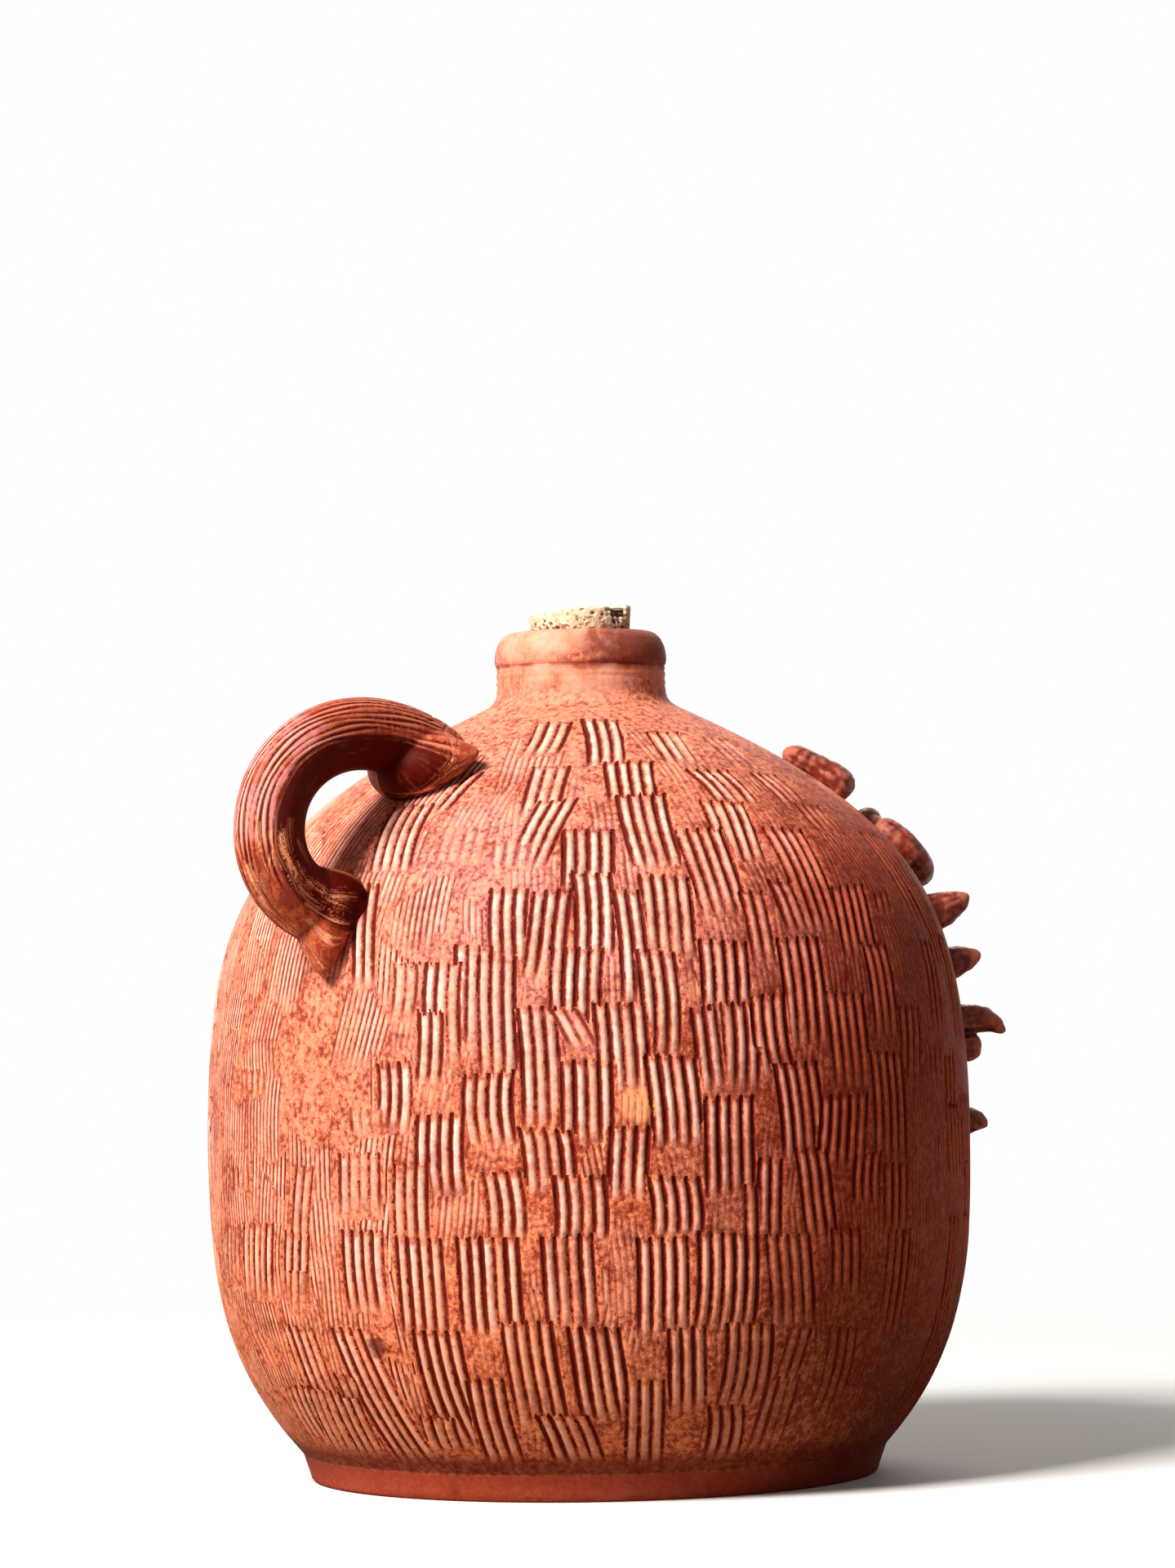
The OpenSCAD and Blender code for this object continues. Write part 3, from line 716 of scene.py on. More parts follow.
floor_edge = (inner_low[-1][0] - (inner_low[-1][1] - INNER_FLOOR) / math.tan(FOOT_ANGLE), INNER_FLOOR)
outline = np.concatenate([
    [(0, 0), (30, 0), (60, 0), (65.5, 0), (66, 0.2), (66.35, 0.55), (FOOT_R, FOOT_EDGE)],
    [(FOOT_R + FOOT_FLARE * t, FOOT_EDGE + (FOOT_H - FOOT_EDGE) * t) for t in (0.2, 0.4, 0.6, 0.8)],
    outside, neck[1:], straight[1:], line, lip, mouth, [(BORE_R, LIP_Z - 8), bore_end],
    inner_high, inner_low[1:], [floor_edge, (40, INNER_FLOOR), (0, INNER_FLOOR)],
])
pot = drawn("thrown_pot", outline)
modify(pot, "SCREW", axis="Z", angle=2 * math.pi, steps=COLUMNS, render_steps=COLUMNS,
       use_merge_vertices=True, merge_threshold=1e-6)
edit(pot, MERGED, OUTWARDS)
print("turned pot:", len(pot.data.vertices), "vertices")

# %% Comb the pot
KEPT_TRIANGLES = 188000
points = places(pot)
away, turned, z = np.hypot(points[:, 0], points[:, 1]), turns_of(points), points[:, 2]
wall_r = radius(np.clip(z, FOOT_TOP[1], HOLLOW[1]))
on_outside = (np.abs(away - wall_r) < 0.05) & (z > FOOT_TOP[1]) & (z < HOLLOW[1])
# The wall is laid back first, so that the ridges end where the CAD wall is
depth = np.where(on_outside, RIDGE, 0)
depth[on_outside] += stroke_depth(points[on_outside])
# The whole outside is a little wavy, as hands leave it
wavy = (np.sin(np.radians(turned * 3 + z * 4)) + np.sin(np.radians(turned * 7 - z * 9))) / 2
depth += 0.06 * (1 + wavy) * ((away > BORE_R + 1.5) & (z > 2) & (away > wall_r - 3))
press(pot, depth, 1.2)
modify(pot, "DECIMATE", ratio=KEPT_TRIANGLES / triangles(pot))

# %% Keep the strokes for the finish
corners = np.empty(len(pot.data.loops), int)
pot.data.loops.foreach_get("vertex_index", corners)
sizes = np.empty(len(pot.data.polygons), int)
pot.data.polygons.foreach_get("loop_total", sizes)
face_of = np.repeat(np.arange(len(sizes)), sizes)
here = places(pot)[corners]
middles = np.stack([np.bincount(face_of, here[:, k]) / sizes for k in range(3)], 1)
# A face that isn't combed gets a blank stroke, so that nothing is drawn on it
on_wall_face = np.abs(np.hypot(middles[:, 0], middles[:, 1]) - radius(middles[:, 2])) < 2.5
on_wall_face &= (middles[:, 2] > 8) & (middles[:, 2] < 180)
number = np.where(on_wall_face, winners(middles), -1)[face_of]
line, inside, below, pressure = read_stroke(number, turns_of(here), here[:, 2])
plain = number < 0
for values, blank in ((line, 0), (inside, -1), (below, -1), (pressure, 0)):
    values[plain] = blank
chance = np.where(plain, 0, quirks[number, 3])
store(pot, "comb", np.stack([line, inside, below], 1), "FLOAT_VECTOR", "CORNER")
store(pot, "stroke", np.stack([pressure, chance, 0 * chance], 1), "FLOAT_VECTOR", "CORNER")
print("combed pot:", len(pot.data.polygons), "faces")

# %% [markdown]
# ## The finish of the clay
# The clay is brick red, brushed with an iron wash and wiped. The comb's grooves are dark, partly from the
# wash that stays in them and partly from painted shade, the ridges are pale and a little pink, partly where
# the wash is wiped off and partly from a painted highlight, and the bare clay between is a blotchy orange
# brown.
# A picture would do this for one side only. Here the finish reads the comb strokes that the mesh keeps at its
# face corners, so that each line is drawn as sharp as the render is, and noise on Object coordinates breaks
# it up. The side that faces the window lamp is also painted lighter and the side away from it darker, as
# painted light and painted shade.

# %% Clay of the pot
CLAY_SHINE = (1, 0.75, 0.66, 1)


def clay_finish():
    clay = Finish("combed_clay")
    place = clay.place()
    height = place.part(2)
    comb, stroke = clay.stored("comb", "Vector"), clay.stored("stroke", "Vector")
    broad = clay.noise(16, 2, 0.5)
    blotch = clay.noise(70, 5, 0.62)
    cloud = clay.noise(190, 4, 0.6)
    grain = clay.noise(1500, 3, 0.6)
    speck = clay.noise(620, 2, 0.5)
    mottle = clay.noise(760, 4, 0.7)
    upright = clay.noise(60, 4, 0.6, at=clay.stretched((14, 14, 1)))

    line = comb.part(0) + (cloud - 0.5) * 0.12
    tooth = line.math("COSINE", line * (2 * math.pi)) * 0.5 + 0.5

    def luck(kind):
        """A random number for each groove or ridge of each stroke."""
        which = clay.node("CombineXYZ", {}, {0: line.math(kind, line), 1: stroke.part(1)})
        return clay.node("TexWhiteNoise", {"noise_dimensions": "2D"}, {"Vector": which}, "Value")

    groove_luck, ridge_luck = luck("ROUND"), luck("FLOOR")
    pressure = stroke.part(0)
    held = pressure * clay.smooth(comb.part(1), 0, 0.3) * clay.smooth(comb.part(2), -0.2, 0.35)
    chatter = (speck - 0.5) * 0.5 + (mottle - 0.5) * 1.5 + (groove_luck - 0.5) * 0.3
    groove = clay.smooth(tooth + chatter + (pressure - 1) * 0.2, 0.62, 0.82) * clay.smooth(held, 0, 0.55)
    between = clay.smooth(comb.part(1), 0.25, 0.6) * clay.smooth(comb.part(2), 0.2, 1.8)
    ridge = clay.smooth(tooth + chatter * 0.8, 0.56, 0.25) * clay.smooth(held, 0.05, 0.7) * between
    ridge = ridge * (0.55 + 0.45 * ridge_luck) * (0.55 + 0.45 * clay.ragged(blotch, 0.62, 0.42, (speck, 0.5)))

    # A pale pink patch where the lamp's light glances off the belly: partly a dusty bloom on the clay, partly
    # a painted sheen.
    dusty_bloom_and_sheen = clay.ragged(clay.gap_to(on_wall(207, 138) * MM), 0.062, 0.008, (blotch, 0.08))
    pale_spot = clay.ragged(clay.gap_to(on_wall(232, 89) * MM), 0.0048, 0.003, (cloud, 0.004))
    dark_spot = clay.ragged(clay.gap_to(on_wall(191, 35.5) * MM), 0.0036, 0.0016, (cloud, 0.006))
    # Painted light: the side that faces the window lamp is painted lighter and pinker.
    painted_lit_side = clay.ragged(place.part(0) * -0.97 + place.part(1) * 0.25, 0.05, 0.088, (cloud, 0.03))
    # Darker and browner on the side away from the window lamp: painted shade, partly a browner wash.
    shade_and_wash_side = clay.ragged(place.part(0) * 0.5 - place.part(1) * 0.87, 0.035, 0.078, (blotch, 0.02))
    # Towards the bottom the clay is painted lighter and more orange: painted light in place of lamp light low
    # on the belly.
    low = clay.ragged(height, 0.085, 0.015, (blotch, 0.06))
    # Painted shade: darker still low down on the side away from the lamp.
    painted_low_shade = shade_and_wash_side * clay.ragged(height, 0.075, 0.02, (blotch, 0.05))
    bitty = mottle + (cloud - 0.5) * 0.4
    foot = clay.smooth(height, 0.0066, 0.0058)
    neck = clay.smooth(height, 0.178, 0.186)
    stained = clay.ragged(place.part(0) * 0.6 - place.part(1) * 0.8, 0, 0.006, (cloud, 0.02))
    stained = stained * clay.ragged(height, 0.187, 0.1895, (cloud, 0.004))
    # Painted shade: a dark line in the little groove under the collar.
    gap = height - (LINE_Z + 0.5) * MM
    under_collar_shade = clay.smooth(gap.math("ABSOLUTE", gap), 0.0006, 0.0002) * clay.smooth(cloud, 0.4, 0.6)
    # The ridges' colour: pale partly where the wash is wiped off and partly as a painted highlight.
    cream = clay.coats(
        paint(244, 184, 158),
        (252, 216, 202, ridge_luck),
        # more orange low down: painted light
        (234, 160, 116, low * 0.7),
        # ridges darker on the side away from the lamp: painted shade, partly wash
        (192, 90, 58, shade_and_wash_side),
        # painted shade low on the side away from the lamp
        (150, 58, 34, painted_low_shade))
    tinted = clay.coats(
        paint(190, 88, 58),
        (202, 108, 90, clay.ragged(broad, 0.42, 0.66, (cloud, 0.4))),
        # the pale pink patch: partly dusty bloom, partly painted sheen
        (222, 142, 136, dusty_bloom_and_sheen * 0.6),
        # painted light on the side that faces the lamp
        (226, 136, 108, painted_lit_side * 0.5),
        # pinker on the shoulder, which faces up to the lamp: painted highlight
        (222, 134, 112, clay.ragged(height, 0.142, 0.172, (blotch, 0.04)) * 0.6),
        # darker on the side away from the lamp: painted shade, partly wash
        (126, 30, 14, shade_and_wash_side * 0.75),
        (138, 50, 31, clay.ragged(blotch, 0.47, 0.7, (upright, 0.5)) * 0.65),
        # lighter and more orange low down: painted light
        (218, 114, 70, low * 0.6),
        # painted shade low on the side away from the lamp
        (70, 12, 5, painted_low_shade * 0.9),
        # less light mottling on the side away from the lamp, as painted shade
        (240, 152, 108, clay.smooth(bitty, 0.51, 0.6) * (0.7 - 0.55 * shade_and_wash_side)),
        (112, 34, 19, clay.smooth(bitty, 0.47, 0.38) * 0.75),
        (240, 158, 104, pale_spot * 0.85),
        # dark grooves, partly wash and partly painted shade; pale ridges, partly wiped and partly painted
        # highlight
        (88, 11, 5, groove * 0.95),
        (cream, ridge * 0.95),
        (84, 26, 18, dark_spot * 0.8),
        (100, 34, 22, clay.smooth(grain, 0.6, 0.78) * 0.4),
        # the foot darker on the side away from the lamp: painted shade, partly wash
        (clay.mix(paint(158, 62, 42), paint(90, 24, 14), shade_and_wash_side), foot * 0.9),
        # painted shade: a dark band just above the foot, under the swell of the belly
        (98, 28, 17, clay.smooth(height, 0.0125, 0.0085) * (1 - foot) * 0.75),
        (236, 172, 144, neck * clay.smooth(cloud + blotch * 0.5, 0.95, 0.6) * 0.7),
        (112, 36, 24, stained * clay.smooth(blotch, 0.66, 0.5) * 0.85),
        # painted shade under the collar
        (116, 36, 24, under_collar_shade * 0.7))

    relief = (1 - tooth) * held * 0.5 + (upright - 0.5) * 0.25 * (1 - neck)
    relief = relief + (grain - 0.5) * 0.35 + (speck - 0.5) * 0.25
    rough = 0.6 + (cloud - 0.5) * 0.25 + groove * 0.2
    return clay.surface(Base_Color=tinted, Roughness=rough, Normal=clay.bump(relief, 0.0004, 0.7),
                        Specular_IOR_Level=0.06, Specular_Tint=CLAY_SHINE)


settle(pot, "jug", "clay", clay_finish(), "jug_body")

# %% [markdown]
# ## The handle
# A pulled handle is a strap of clay that the potter draws out of a lump with a wet hand, then presses on
# the pot. It could be a curve with a bevel, but its section changes along the way. Here circles are set
# along the same middle line as in the CAD model, turned and scaled, and bridged. The pad of clay that holds
# the root and the wiped tail are rolls that follow the wall. A voxel remesh fuses the three, as luting
# does, and keeps the creases.

# %% Rolls of clay along the wall
SINK = 0.35


def eased(n):
    return [(1 - math.cos(math.pi * i / n)) / 2 for i in range(n + 1)]


def round_tip(t, blunt=3.5):
    """The share of its width that a roll has at t, where 1 is its tip."""
    return max(0.14, math.sqrt(1 - t ** blunt))


def round_ends(t, blunt=5):
    return round_tip(abs(2 * t - 1), blunt)


def roll(name, stations, width, stand, sides=12):
    """A roll pressed along the wall. Each station is a turn, a height and a share of the width."""
    half = (1 + SINK) * stand / 2
    middles = [on_wall(turn, z, stand - half) for turn, z, _ in stations]
    rings = []
    for i, (turn, z, size) in enumerate(stations):
        out = out_of(turn, z)
        way = (middles[min(i + 1, len(middles) - 1)] - middles[max(i - 1, 0)]).normalized()
        rings.append((middles[i], out.cross(way).normalized() * width / 2 * size, out * half * size))
    return loft(name, rings, sides)


# %% The arch of the handle
HANDLE_W, HANDLE_T, FLARE_W, FLARE_T, STAND = 15.5, 17, 24, 20, 30
ROOT_Z, REACH_Z, GRIP_Z = SHOULDER_Z - 17, SHOULDER_Z - 33, SHOULDER_Z - 52.5
ROOT_ANGLE = math.radians(46)
PAD_Z, PAD_W, PAD_STAND = 162.5, 23, 12.5
TAIL_LENGTH, TAIL_W, TAIL_STAND = 19.5, 16, 11
root = np.array([float(radius(ROOT_Z)) - 0.35 * HANDLE_T, ROOT_Z - 0.35 * HANDLE_T])
reach = np.array([float(radius(REACH_Z)) + STAND, REACH_Z])
grip = np.array([float(radius(GRIP_Z)) - 0.5 * HANDLE_T, GRIP_Z])
UPPER = [root, root + towards(ROOT_ANGLE, 1.03 * STAND), reach + [0, 0.7 * STAND], reach]
LOWER = [reach, reach - [0, 0.37 * STAND], grip + [0.54 * STAND, 0], grip]
SWING = 4


def arm_middle(t):
    """The middle line from 0 at the root to 2 at the grip, as a point and its direction."""
    arm, share = (UPPER, t) if t < 1 else (LOWER, t - 1)
    p, way = bezier(arm, share), heading(arm, share)
    swing = SWING * max(0, t - 1) ** 2
    return Vector((-p[0], -swing, p[1])), Vector((-way[0], 0, way[1]))


def arch():
    rings = []
    for t in np.linspace(0.06, 1.97, 30):
        middle, way = arm_middle(float(t))
        flare = max(0, 1 - t / 0.42) ** 2
        across = HANDLE_W + (FLARE_W - HANDLE_W) * flare
        thick = HANDLE_T + (FLARE_T - HANDLE_T) * flare
        over = Vector((0, 1, 0)).cross(way).normalized()
        rings.append((middle, Vector((0, across / 2 * 0.995, 0)), over * thick / 2 * 0.995))
    return loft("arch", rings, 28)


def root_pad():
    """The leaf of clay that holds the root, thick under the arch and thin at its two tips."""
    half = [(0, 1.0), (5, 0.94), (9, 0.78), (12.5, 0.57), (15.5, 0.36), (17.8, 0.19), (19, 0.08)]
    stations = [(180 + side * turn, PAD_Z + lift * turn * turn, size * thin ** turn)
                for side, some, thin, lift in ((-1, half[:0:-1], 0.95, 0.018), (1, half, 1, 0.006))
                for turn, size in some]
    return roll("pad", stations, PAD_W, PAD_STAND, 20)


def tail():
    """The lower end, wiped down the belly to a blunt tip."""
    aside = turn_of(SWING, GRIP_Z)
    stations = [(180 + aside * (0.4 + 1.1 * t), GRIP_Z + 6 - TAIL_LENGTH * t, (1 - t ** 1.8) ** 0.8 + 0.08)
                for t in eased(14)]
    return roll("tail", stations, TAIL_W, TAIL_STAND, 20)


handle = joined("pulled_handle", arch(), root_pad(), tail())
modify(handle, "SUBSURF", levels=2, render_levels=2)
remesh(handle, 0.42, 6)
print("handle blank:", len(handle.data.vertices), "vertices")

# %% Cut the handle off inside the wall
core_line = [[(0, 20)], offset(LOW, steps(10, 0.4), 3), offset(HIGH, steps(24), 3)[1:], [(0, 178)]]
core = drawn("core", np.concatenate(core_line))
turning = {"steps": 96, "angle": 2 * math.pi, "center": (0, 0, 0), "axis": (0, 0, 1), "use_auto_merge": True}
edit(core, (bpy.ops.mesh.spin, turning), MERGED, OUTWARDS)
modify(handle, "BOOLEAN", operation="DIFFERENCE", object=core, solver="EXACT")
bpy.data.objects.remove(core)
print("handle cut:", len(handle.data.vertices), "vertices")

# %% Comb and scratch the handle
MM_PER_DEGREE = 0.142
ARM_PITCH = 1.5
line_t = np.linspace(0, 2, 500)
line_points, line_ways = (np.array([arm_middle(float(t))[k] for t in line_t]) for k in (0, 1))
line_arc = np.concatenate([[0], np.cumsum(np.linalg.norm(np.diff(line_points, axis=0), axis=1))])


def round_the_arm(points):
    """For each point: how far along the middle line it lies, in mm, and its angle from the outside (0) over
    the side that faces -Y (90) to the inside (180)."""
    nearest = np.empty(len(points), int)
    for some in np.array_split(np.arange(len(points)), max(1, len(points) // 4000)):
        nearest[some] = ((points[some, None, :] - line_points[None]) ** 2).sum(2).argmin(1)
    away = points - line_points[nearest]
    way = line_ways[nearest]
    over = np.stack([way[:, 2], np.zeros(len(way)), -way[:, 0]], 1)
    angle = np.degrees(np.arctan2(-away[:, 1], (away * over).sum(1)))
    return line_arc[nearest], angle


def scratches(rng, number, start, end, lengths, slants, width):
    """Short straight marks: where each starts and how far it goes, along the arm and around it, and its
    width, all in mm."""
    marks = []
    for _ in range(number):
        s, a = rng.uniform(start, end), rng.uniform(-60, 150)
        length, slant = rng.uniform(*lengths), math.radians(rng.uniform(*slants))
        way = towards(slant, length)
        marks.append((s, a * MM_PER_DEGREE, way[0], way[1], rng.uniform(*width)))
    return marks


def mark_depth(along_arm, around, marks):
    """1 where a mark starts, less towards its end, and 0 beside it."""
    deep = np.zeros(len(along_arm))
    for s, a, ds, da, width in marks:
        near = np.flatnonzero((abs(along_arm - s) < 12) & (abs(around - a) < 12))
        ps, pa = along_arm[near] - s, around[near] - a
        size = ds * ds + da * da
        share = np.clip((ps * ds + pa * da) / size, 0, 1)
        gap = np.hypot(ps - share * ds, pa - share * da)
        here = smoothstep(gap, width, 0) * (1 - 0.7 * share)
        deep[near] = np.maximum(deep[near], here)
    return deep


rng = np.random.default_rng(19)
points = places(handle)
along_arm, angle = round_the_arm(points)
length = float(line_arc[-1])
elbow = float(np.interp(1, line_t, line_arc))
# The comb drifts towards the outside as it comes down
angle = angle + 42 * smoothstep(along_arm, 22, elbow)
around = angle * MM_PER_DEGREE
sway = 0.3 * np.sin(along_arm / 9) + 0.22 * np.sin(along_arm / 4.3 + around)
row = (around + sway) / ARM_PITCH
lines = 0.5 + 0.5 * np.cos(2 * math.pi * row)
combing = smoothstep(angle, 112, 98) * smoothstep(angle, -112, -90)
combing *= smoothstep(along_arm, 13, 18)
combing *= smoothstep(along_arm + 4 * np.sin(row * 2.1), elbow + 12, elbow + 4)
# Each ridge breaks off and starts again at places of its own
which = np.floor(row + 0.5)
breaks = 0.5 + 0.5 * np.sin(along_arm / 5 + 4.7 * which)
each = 0.5 + 0.5 * np.sin(12.9 * which)
groove = (1 - lines) ** 1.6 * combing * (0.4 + 0.6 * breaks)
ridge = lines ** 2.5 * combing * (0.3 + 0.7 * breaks) * (0.35 + 0.65 * each)
crossed = scratches(rng, 62, elbow - 4, length - 12, (8, 16), (0, 15), (0.35, 0.7))
crossed += scratches(rng, 16, elbow + 2, length - 16, (5, 9), (-24, -6), (0.3, 0.5))
crossed += scratches(rng, 26, 4, 17, (4, 8), (30, 75), (0.4, 0.7))
cut = mark_depth(along_arm, around, crossed)
fine_marks = mark_depth(along_arm, around, scratches(rng, 60, 10, length, (4, 9), (-8, 8), (0.3, 0.5)))
press(handle, 0.08 + 0.32 * groove + 0.4 * cut + 0.15 * fine_marks, 1)
handle_marks = {
    "groove": groove,
    "ridge": ridge,
    "cut": np.maximum(cut, 0.5 * fine_marks),
    # The inside of the arm, which faces the jug, for the painted shade there.
    "under": smoothstep(angle, 92, 112) * smoothstep(along_arm, 3, 10),
    "lower": smoothstep(along_arm, elbow - 2, elbow + 8),
    "root": smoothstep(along_arm - 0.1 * angle, 60, 20),
    "wiped": smoothstep(points[:, 2], GRIP_Z + 7, GRIP_Z - 1),
    "rim": rims(handle),
}
for name, values in handle_marks.items():
    store(handle, name, values)


def handle_finish():
    clay = Finish("handle_clay")
    blotch = clay.noise(120, 5, 0.62)
    cloud = clay.noise(330, 4, 0.6)
    grain = clay.noise(1600, 3, 0.6)
    groove, ridge, cut, under, lower, root, wiped, rim = (clay.stored(name) for name in handle_marks)
    washed = clay.ragged(lower + root, 0.1, 0.6, (blotch, 0.8), (cloud, 0.4))
    streaks = clay.noise(900, 3, 0.6, at=clay.stretched((1, 1, 0.12)))
    streaks = clay.ragged(streaks, 0.5, 0.62, (blotch, 0.3)) * clay.smooth(wiped + root, 0.4, 1)
    pale = clay.mix(paint(246, 190, 176), paint(206, 122, 94), washed)
    tinted = clay.coats(
        paint(216, 130, 122),
        (178, 82, 62, clay.ragged(blotch, 0.42, 0.66, (cloud, 0.5))),
        (136, 44, 23, washed * 0.92),
        (206, 98, 60, washed * clay.ragged(cloud, 0.5, 0.6, (grain, 0.6)) * 0.6),
        # painted shade on the inside of the arm
        (70, 4, 1, clay.ragged(under, 0.15, 0.6, (blotch, 0.3)) * 0.97),
        # dark grooves, partly wash and partly painted shade; pale ridges, partly wiped and partly painted
        # highlight
        (92, 22, 10, clay.ragged(groove, 0.15, 0.6, (cloud, 0.6)) * 0.85),
        (pale, clay.ragged(ridge, 0.2, 0.6, (cloud, 0.4)) * 0.8),
        (246, 156, 114, clay.ragged(cut, 0.35, 0.6, (grain, 0.4)) * 0.95),
        (206, 112, 72, streaks * (1 - clay.smooth(under, 0.1, 0.5)) * 0.4),
        (205, 112, 74, clay.ragged(rim, 0.12, 0.45, (cloud, 0.4)) * 0.4),
        (46, 8, 5, clay.smooth(rim, -0.05, -0.3) * 0.6))
    relief = (grain - 0.5) * 0.5 + (cloud - 0.5) * 0.5
    return clay.surface(Base_Color=tinted, Roughness=0.5 + (blotch - 0.5) * 0.3,
                        Normal=clay.bump(relief, 0.0004, 0.6), Specular_IOR_Level=0.05,
                        Specular_Tint=CLAY_SHINE)


settle(handle, "jug", "handle_clay", handle_finish(), "handle")

# %% [markdown]
# ## The cork
# A bottle cork, cut with a knife, a little slanted, with a corner broken off and dark pits where the bark
# had holes. A cone primitive has its taper. It is bisected for the slant, remeshed, and its pits are
# pressed in.

# %% Cork
CORK_TOP, CORK_LENGTH = LIP_Z + 6.2, 23
CORK_BASE = CORK_TOP - CORK_LENGTH
CORK_GAP, CORK_TAPER = 0.1, math.radians(4)
SLANT_TURN, SLANT = math.radians(135), math.radians(4)
CHIP_OUT, CHIP_R = 9.6, 4.4


def cork_radius(z):
    return BORE_R - CORK_GAP + (z - LIP_Z + 1) * math.tan(CORK_TAPER)


bpy.ops.object.select_all(action="DESELECT")
bpy.ops.mesh.primitive_cone_add(vertices=96, radius1=cork_radius(CORK_BASE) * MM,
                                radius2=cork_radius(CORK_TOP) * MM, depth=CORK_LENGTH * MM,
                                location=(0, 0, (CORK_TOP + CORK_BASE) / 2 * MM))
cork = named(bpy.context.object, "cork_stopper")
bpy.ops.object.transform_apply(location=True)
slant_side = Vector((math.cos(SLANT_TURN), math.sin(SLANT_TURN), 0))
low_edge = Vector((0, 0, CORK_TOP - 0.05)) - slant_side * cork_radius(CORK_TOP)
slant_way = slant_side * math.sin(SLANT) + Vector((0, 0, math.cos(SLANT)))
slice_off = {"plane_co": low_edge * MM, "plane_no": slant_way, "use_fill": True, "clear_outer": True}
edit(cork, (bpy.ops.mesh.bisect, slice_off), OUTWARDS)
modify(cork, "BEVEL", width=0.7 * MM, segments=3, limit_method="ANGLE", angle_limit=math.radians(50))
remesh(cork, 0.26, 3)
rng = np.random.default_rng(4)
points = places(cork)
turns = rng.uniform(0, 360, 150)
pits = np.zeros(len(points))
for turn in turns:
    high = rng.random() < 0.3
    z = CORK_TOP - 0.2 if high else rng.uniform(LIP_Z - 1, CORK_TOP)
    r = cork_radius(z) * (math.sqrt(rng.random()) if high else 1)
    spot = np.array([r * math.cos(math.radians(turn)), r * math.sin(math.radians(turn)), z])
    size = rng.uniform(0.3, 1.0)
    gap = np.linalg.norm((points - spot) * (1, 1, rng.uniform(0.8, 1.6)), axis=1)
    pits = np.maximum(pits, smoothstep(gap, size, size * 0.3) * rng.uniform(0.4, 1))
chip_spot = RIGHT * CHIP_OUT + Vector((-5.5, -5.5, CORK_TOP - 0.4))
chip_gap = np.linalg.norm(points - np.array(chip_spot), axis=1)
chip_gap += 0.5 * np.sin(points[:, 0] * 3) + 0.4 * np.sin(points[:, 2] * 5)
chip = smoothstep(chip_gap, CHIP_R, CHIP_R / 2)
press(cork, np.clip(0.04 + 0.55 * pits + 1.3 * chip, 0, 1.6), 1.6)
store(cork, "pits", np.maximum(pits, chip * 0.9))
store(cork, "rim", rims(cork))


def cork_finish():
    bark = Finish("cork_bark")
    height = bark.place().part(2)
    cell = bark.noise(900, 3, 0.6)
    blotch = bark.noise(330, 5, 0.65)
    holes = bark.noise(520, 3, 0.6, at=bark.stretched((1, 1, 1.8)))
    pits, rim = bark.stored("pits"), bark.stored("rim")
    low = bark.smooth(height, LIP_Z * MM + 0.0035, LIP_Z * MM)
    tinted = bark.coats(
        paint(226, 190, 152),
        (240, 214, 184, bark.smooth(blotch, 0.4, 0.62)),
        (190, 138, 96, bark.smooth(cell, 0.5, 0.68) * 0.6),
        (120, 66, 42, bark.smooth(holes + low * 0.16, 0.6, 0.7) * 0.85),
        (96, 48, 32, bark.ragged(pits, 0.3, 0.7, (cell, 0.4)) * 0.9),
        (246, 226, 200, bark.smooth(rim, 0.15, 0.5) * 0.4))
    relief = (cell - 0.5) + bark.smooth(holes, 0.7, 0.6) * 0.6
    return bark.surface(Base_Color=tinted, Roughness=0.86, Normal=bark.bump(relief, 0.0003, 0.8),
                        Specular_IOR_Level=0.3)


settle(cork, "cork", "cork", cork_finish(), "cork")

# %% [markdown]
# ## The owl
# The owl is drawn with lumps: rolls for brows, tufts and toes, rolls bent into rings for the eyes, and
# pinched pellets for beak and feathers, all glazed dark brown. Each is lofted from circles along the same
# path as its CAD node, and the pupils are balls with a dimple. A remesh makes them denser, and clouds make
# them uneven, because no two pinches are alike.

# %% Owl tools
EYE_TURN, EYE_Z, EYE_D, EYE_STAND = 31, 0.787 * SHOULDER_Z, 24.5, 6
EYE_ROLL_R, PUPIL_R = 3.7, 4.45
LEAF_W, LEAF_H, LEAF_OUT = 9.5, 10.5, 9
WING_TURN, BREAST_TURN = 41, 13
ANKLE, FOOT_TURN, TOE_LENGTH = 0.49 * SHOULDER_Z, 13, 15


def pinch(name, turn, z, path, width, height, tip_share, rings=9, sides=12):
    """A pellet pinched off the wall: its path runs up the wall and out of it."""
    out = out_of(turn, z)
    up = out.cross(along(turn))
    skins = []
    for t in eased(rings):
        p, way = bezier(path, t), heading(path, t)
        size = round_tip(t) * (1 + (tip_share - 1) * t)
        skins.append((on_wall(turn, z, float(p[1])) + float(p[0]) * up, along(turn) * width / 2 * size,
                      (up * float(way[1]) - out * float(way[0])) * height / 2 * size))
    return loft(name, skins, sides)


def feather(name, turn, z, size, out, droop, tip):
    stand = out * LEAF_OUT
    path = [(0, -SINK * stand), (0, stand / 3), (0, stand * 2 / 3), (-droop * LEAF_H, stand)]
    return pinch(name, turn, z, path, size * LEAF_W, size * LEAF_H, tip)


def bent_roll(spots, side, end_share, n=12):
    """Stations of a roll on the owl's face. The spots are its start, what it bends towards, and its end."""
    p = np.array([(side * a * EYE_TURN, b * SHOULDER_Z) for a, b in spots])
    stations = []
    for t in eased(n):
        turn, z = (1 - t) ** 2 * p[0] + 2 * (1 - t) * t * p[1] + t * t * p[2]
        stations.append((float(turn), float(z), round_ends(t) * (1 + (end_share - 1) * t)))
    return stations


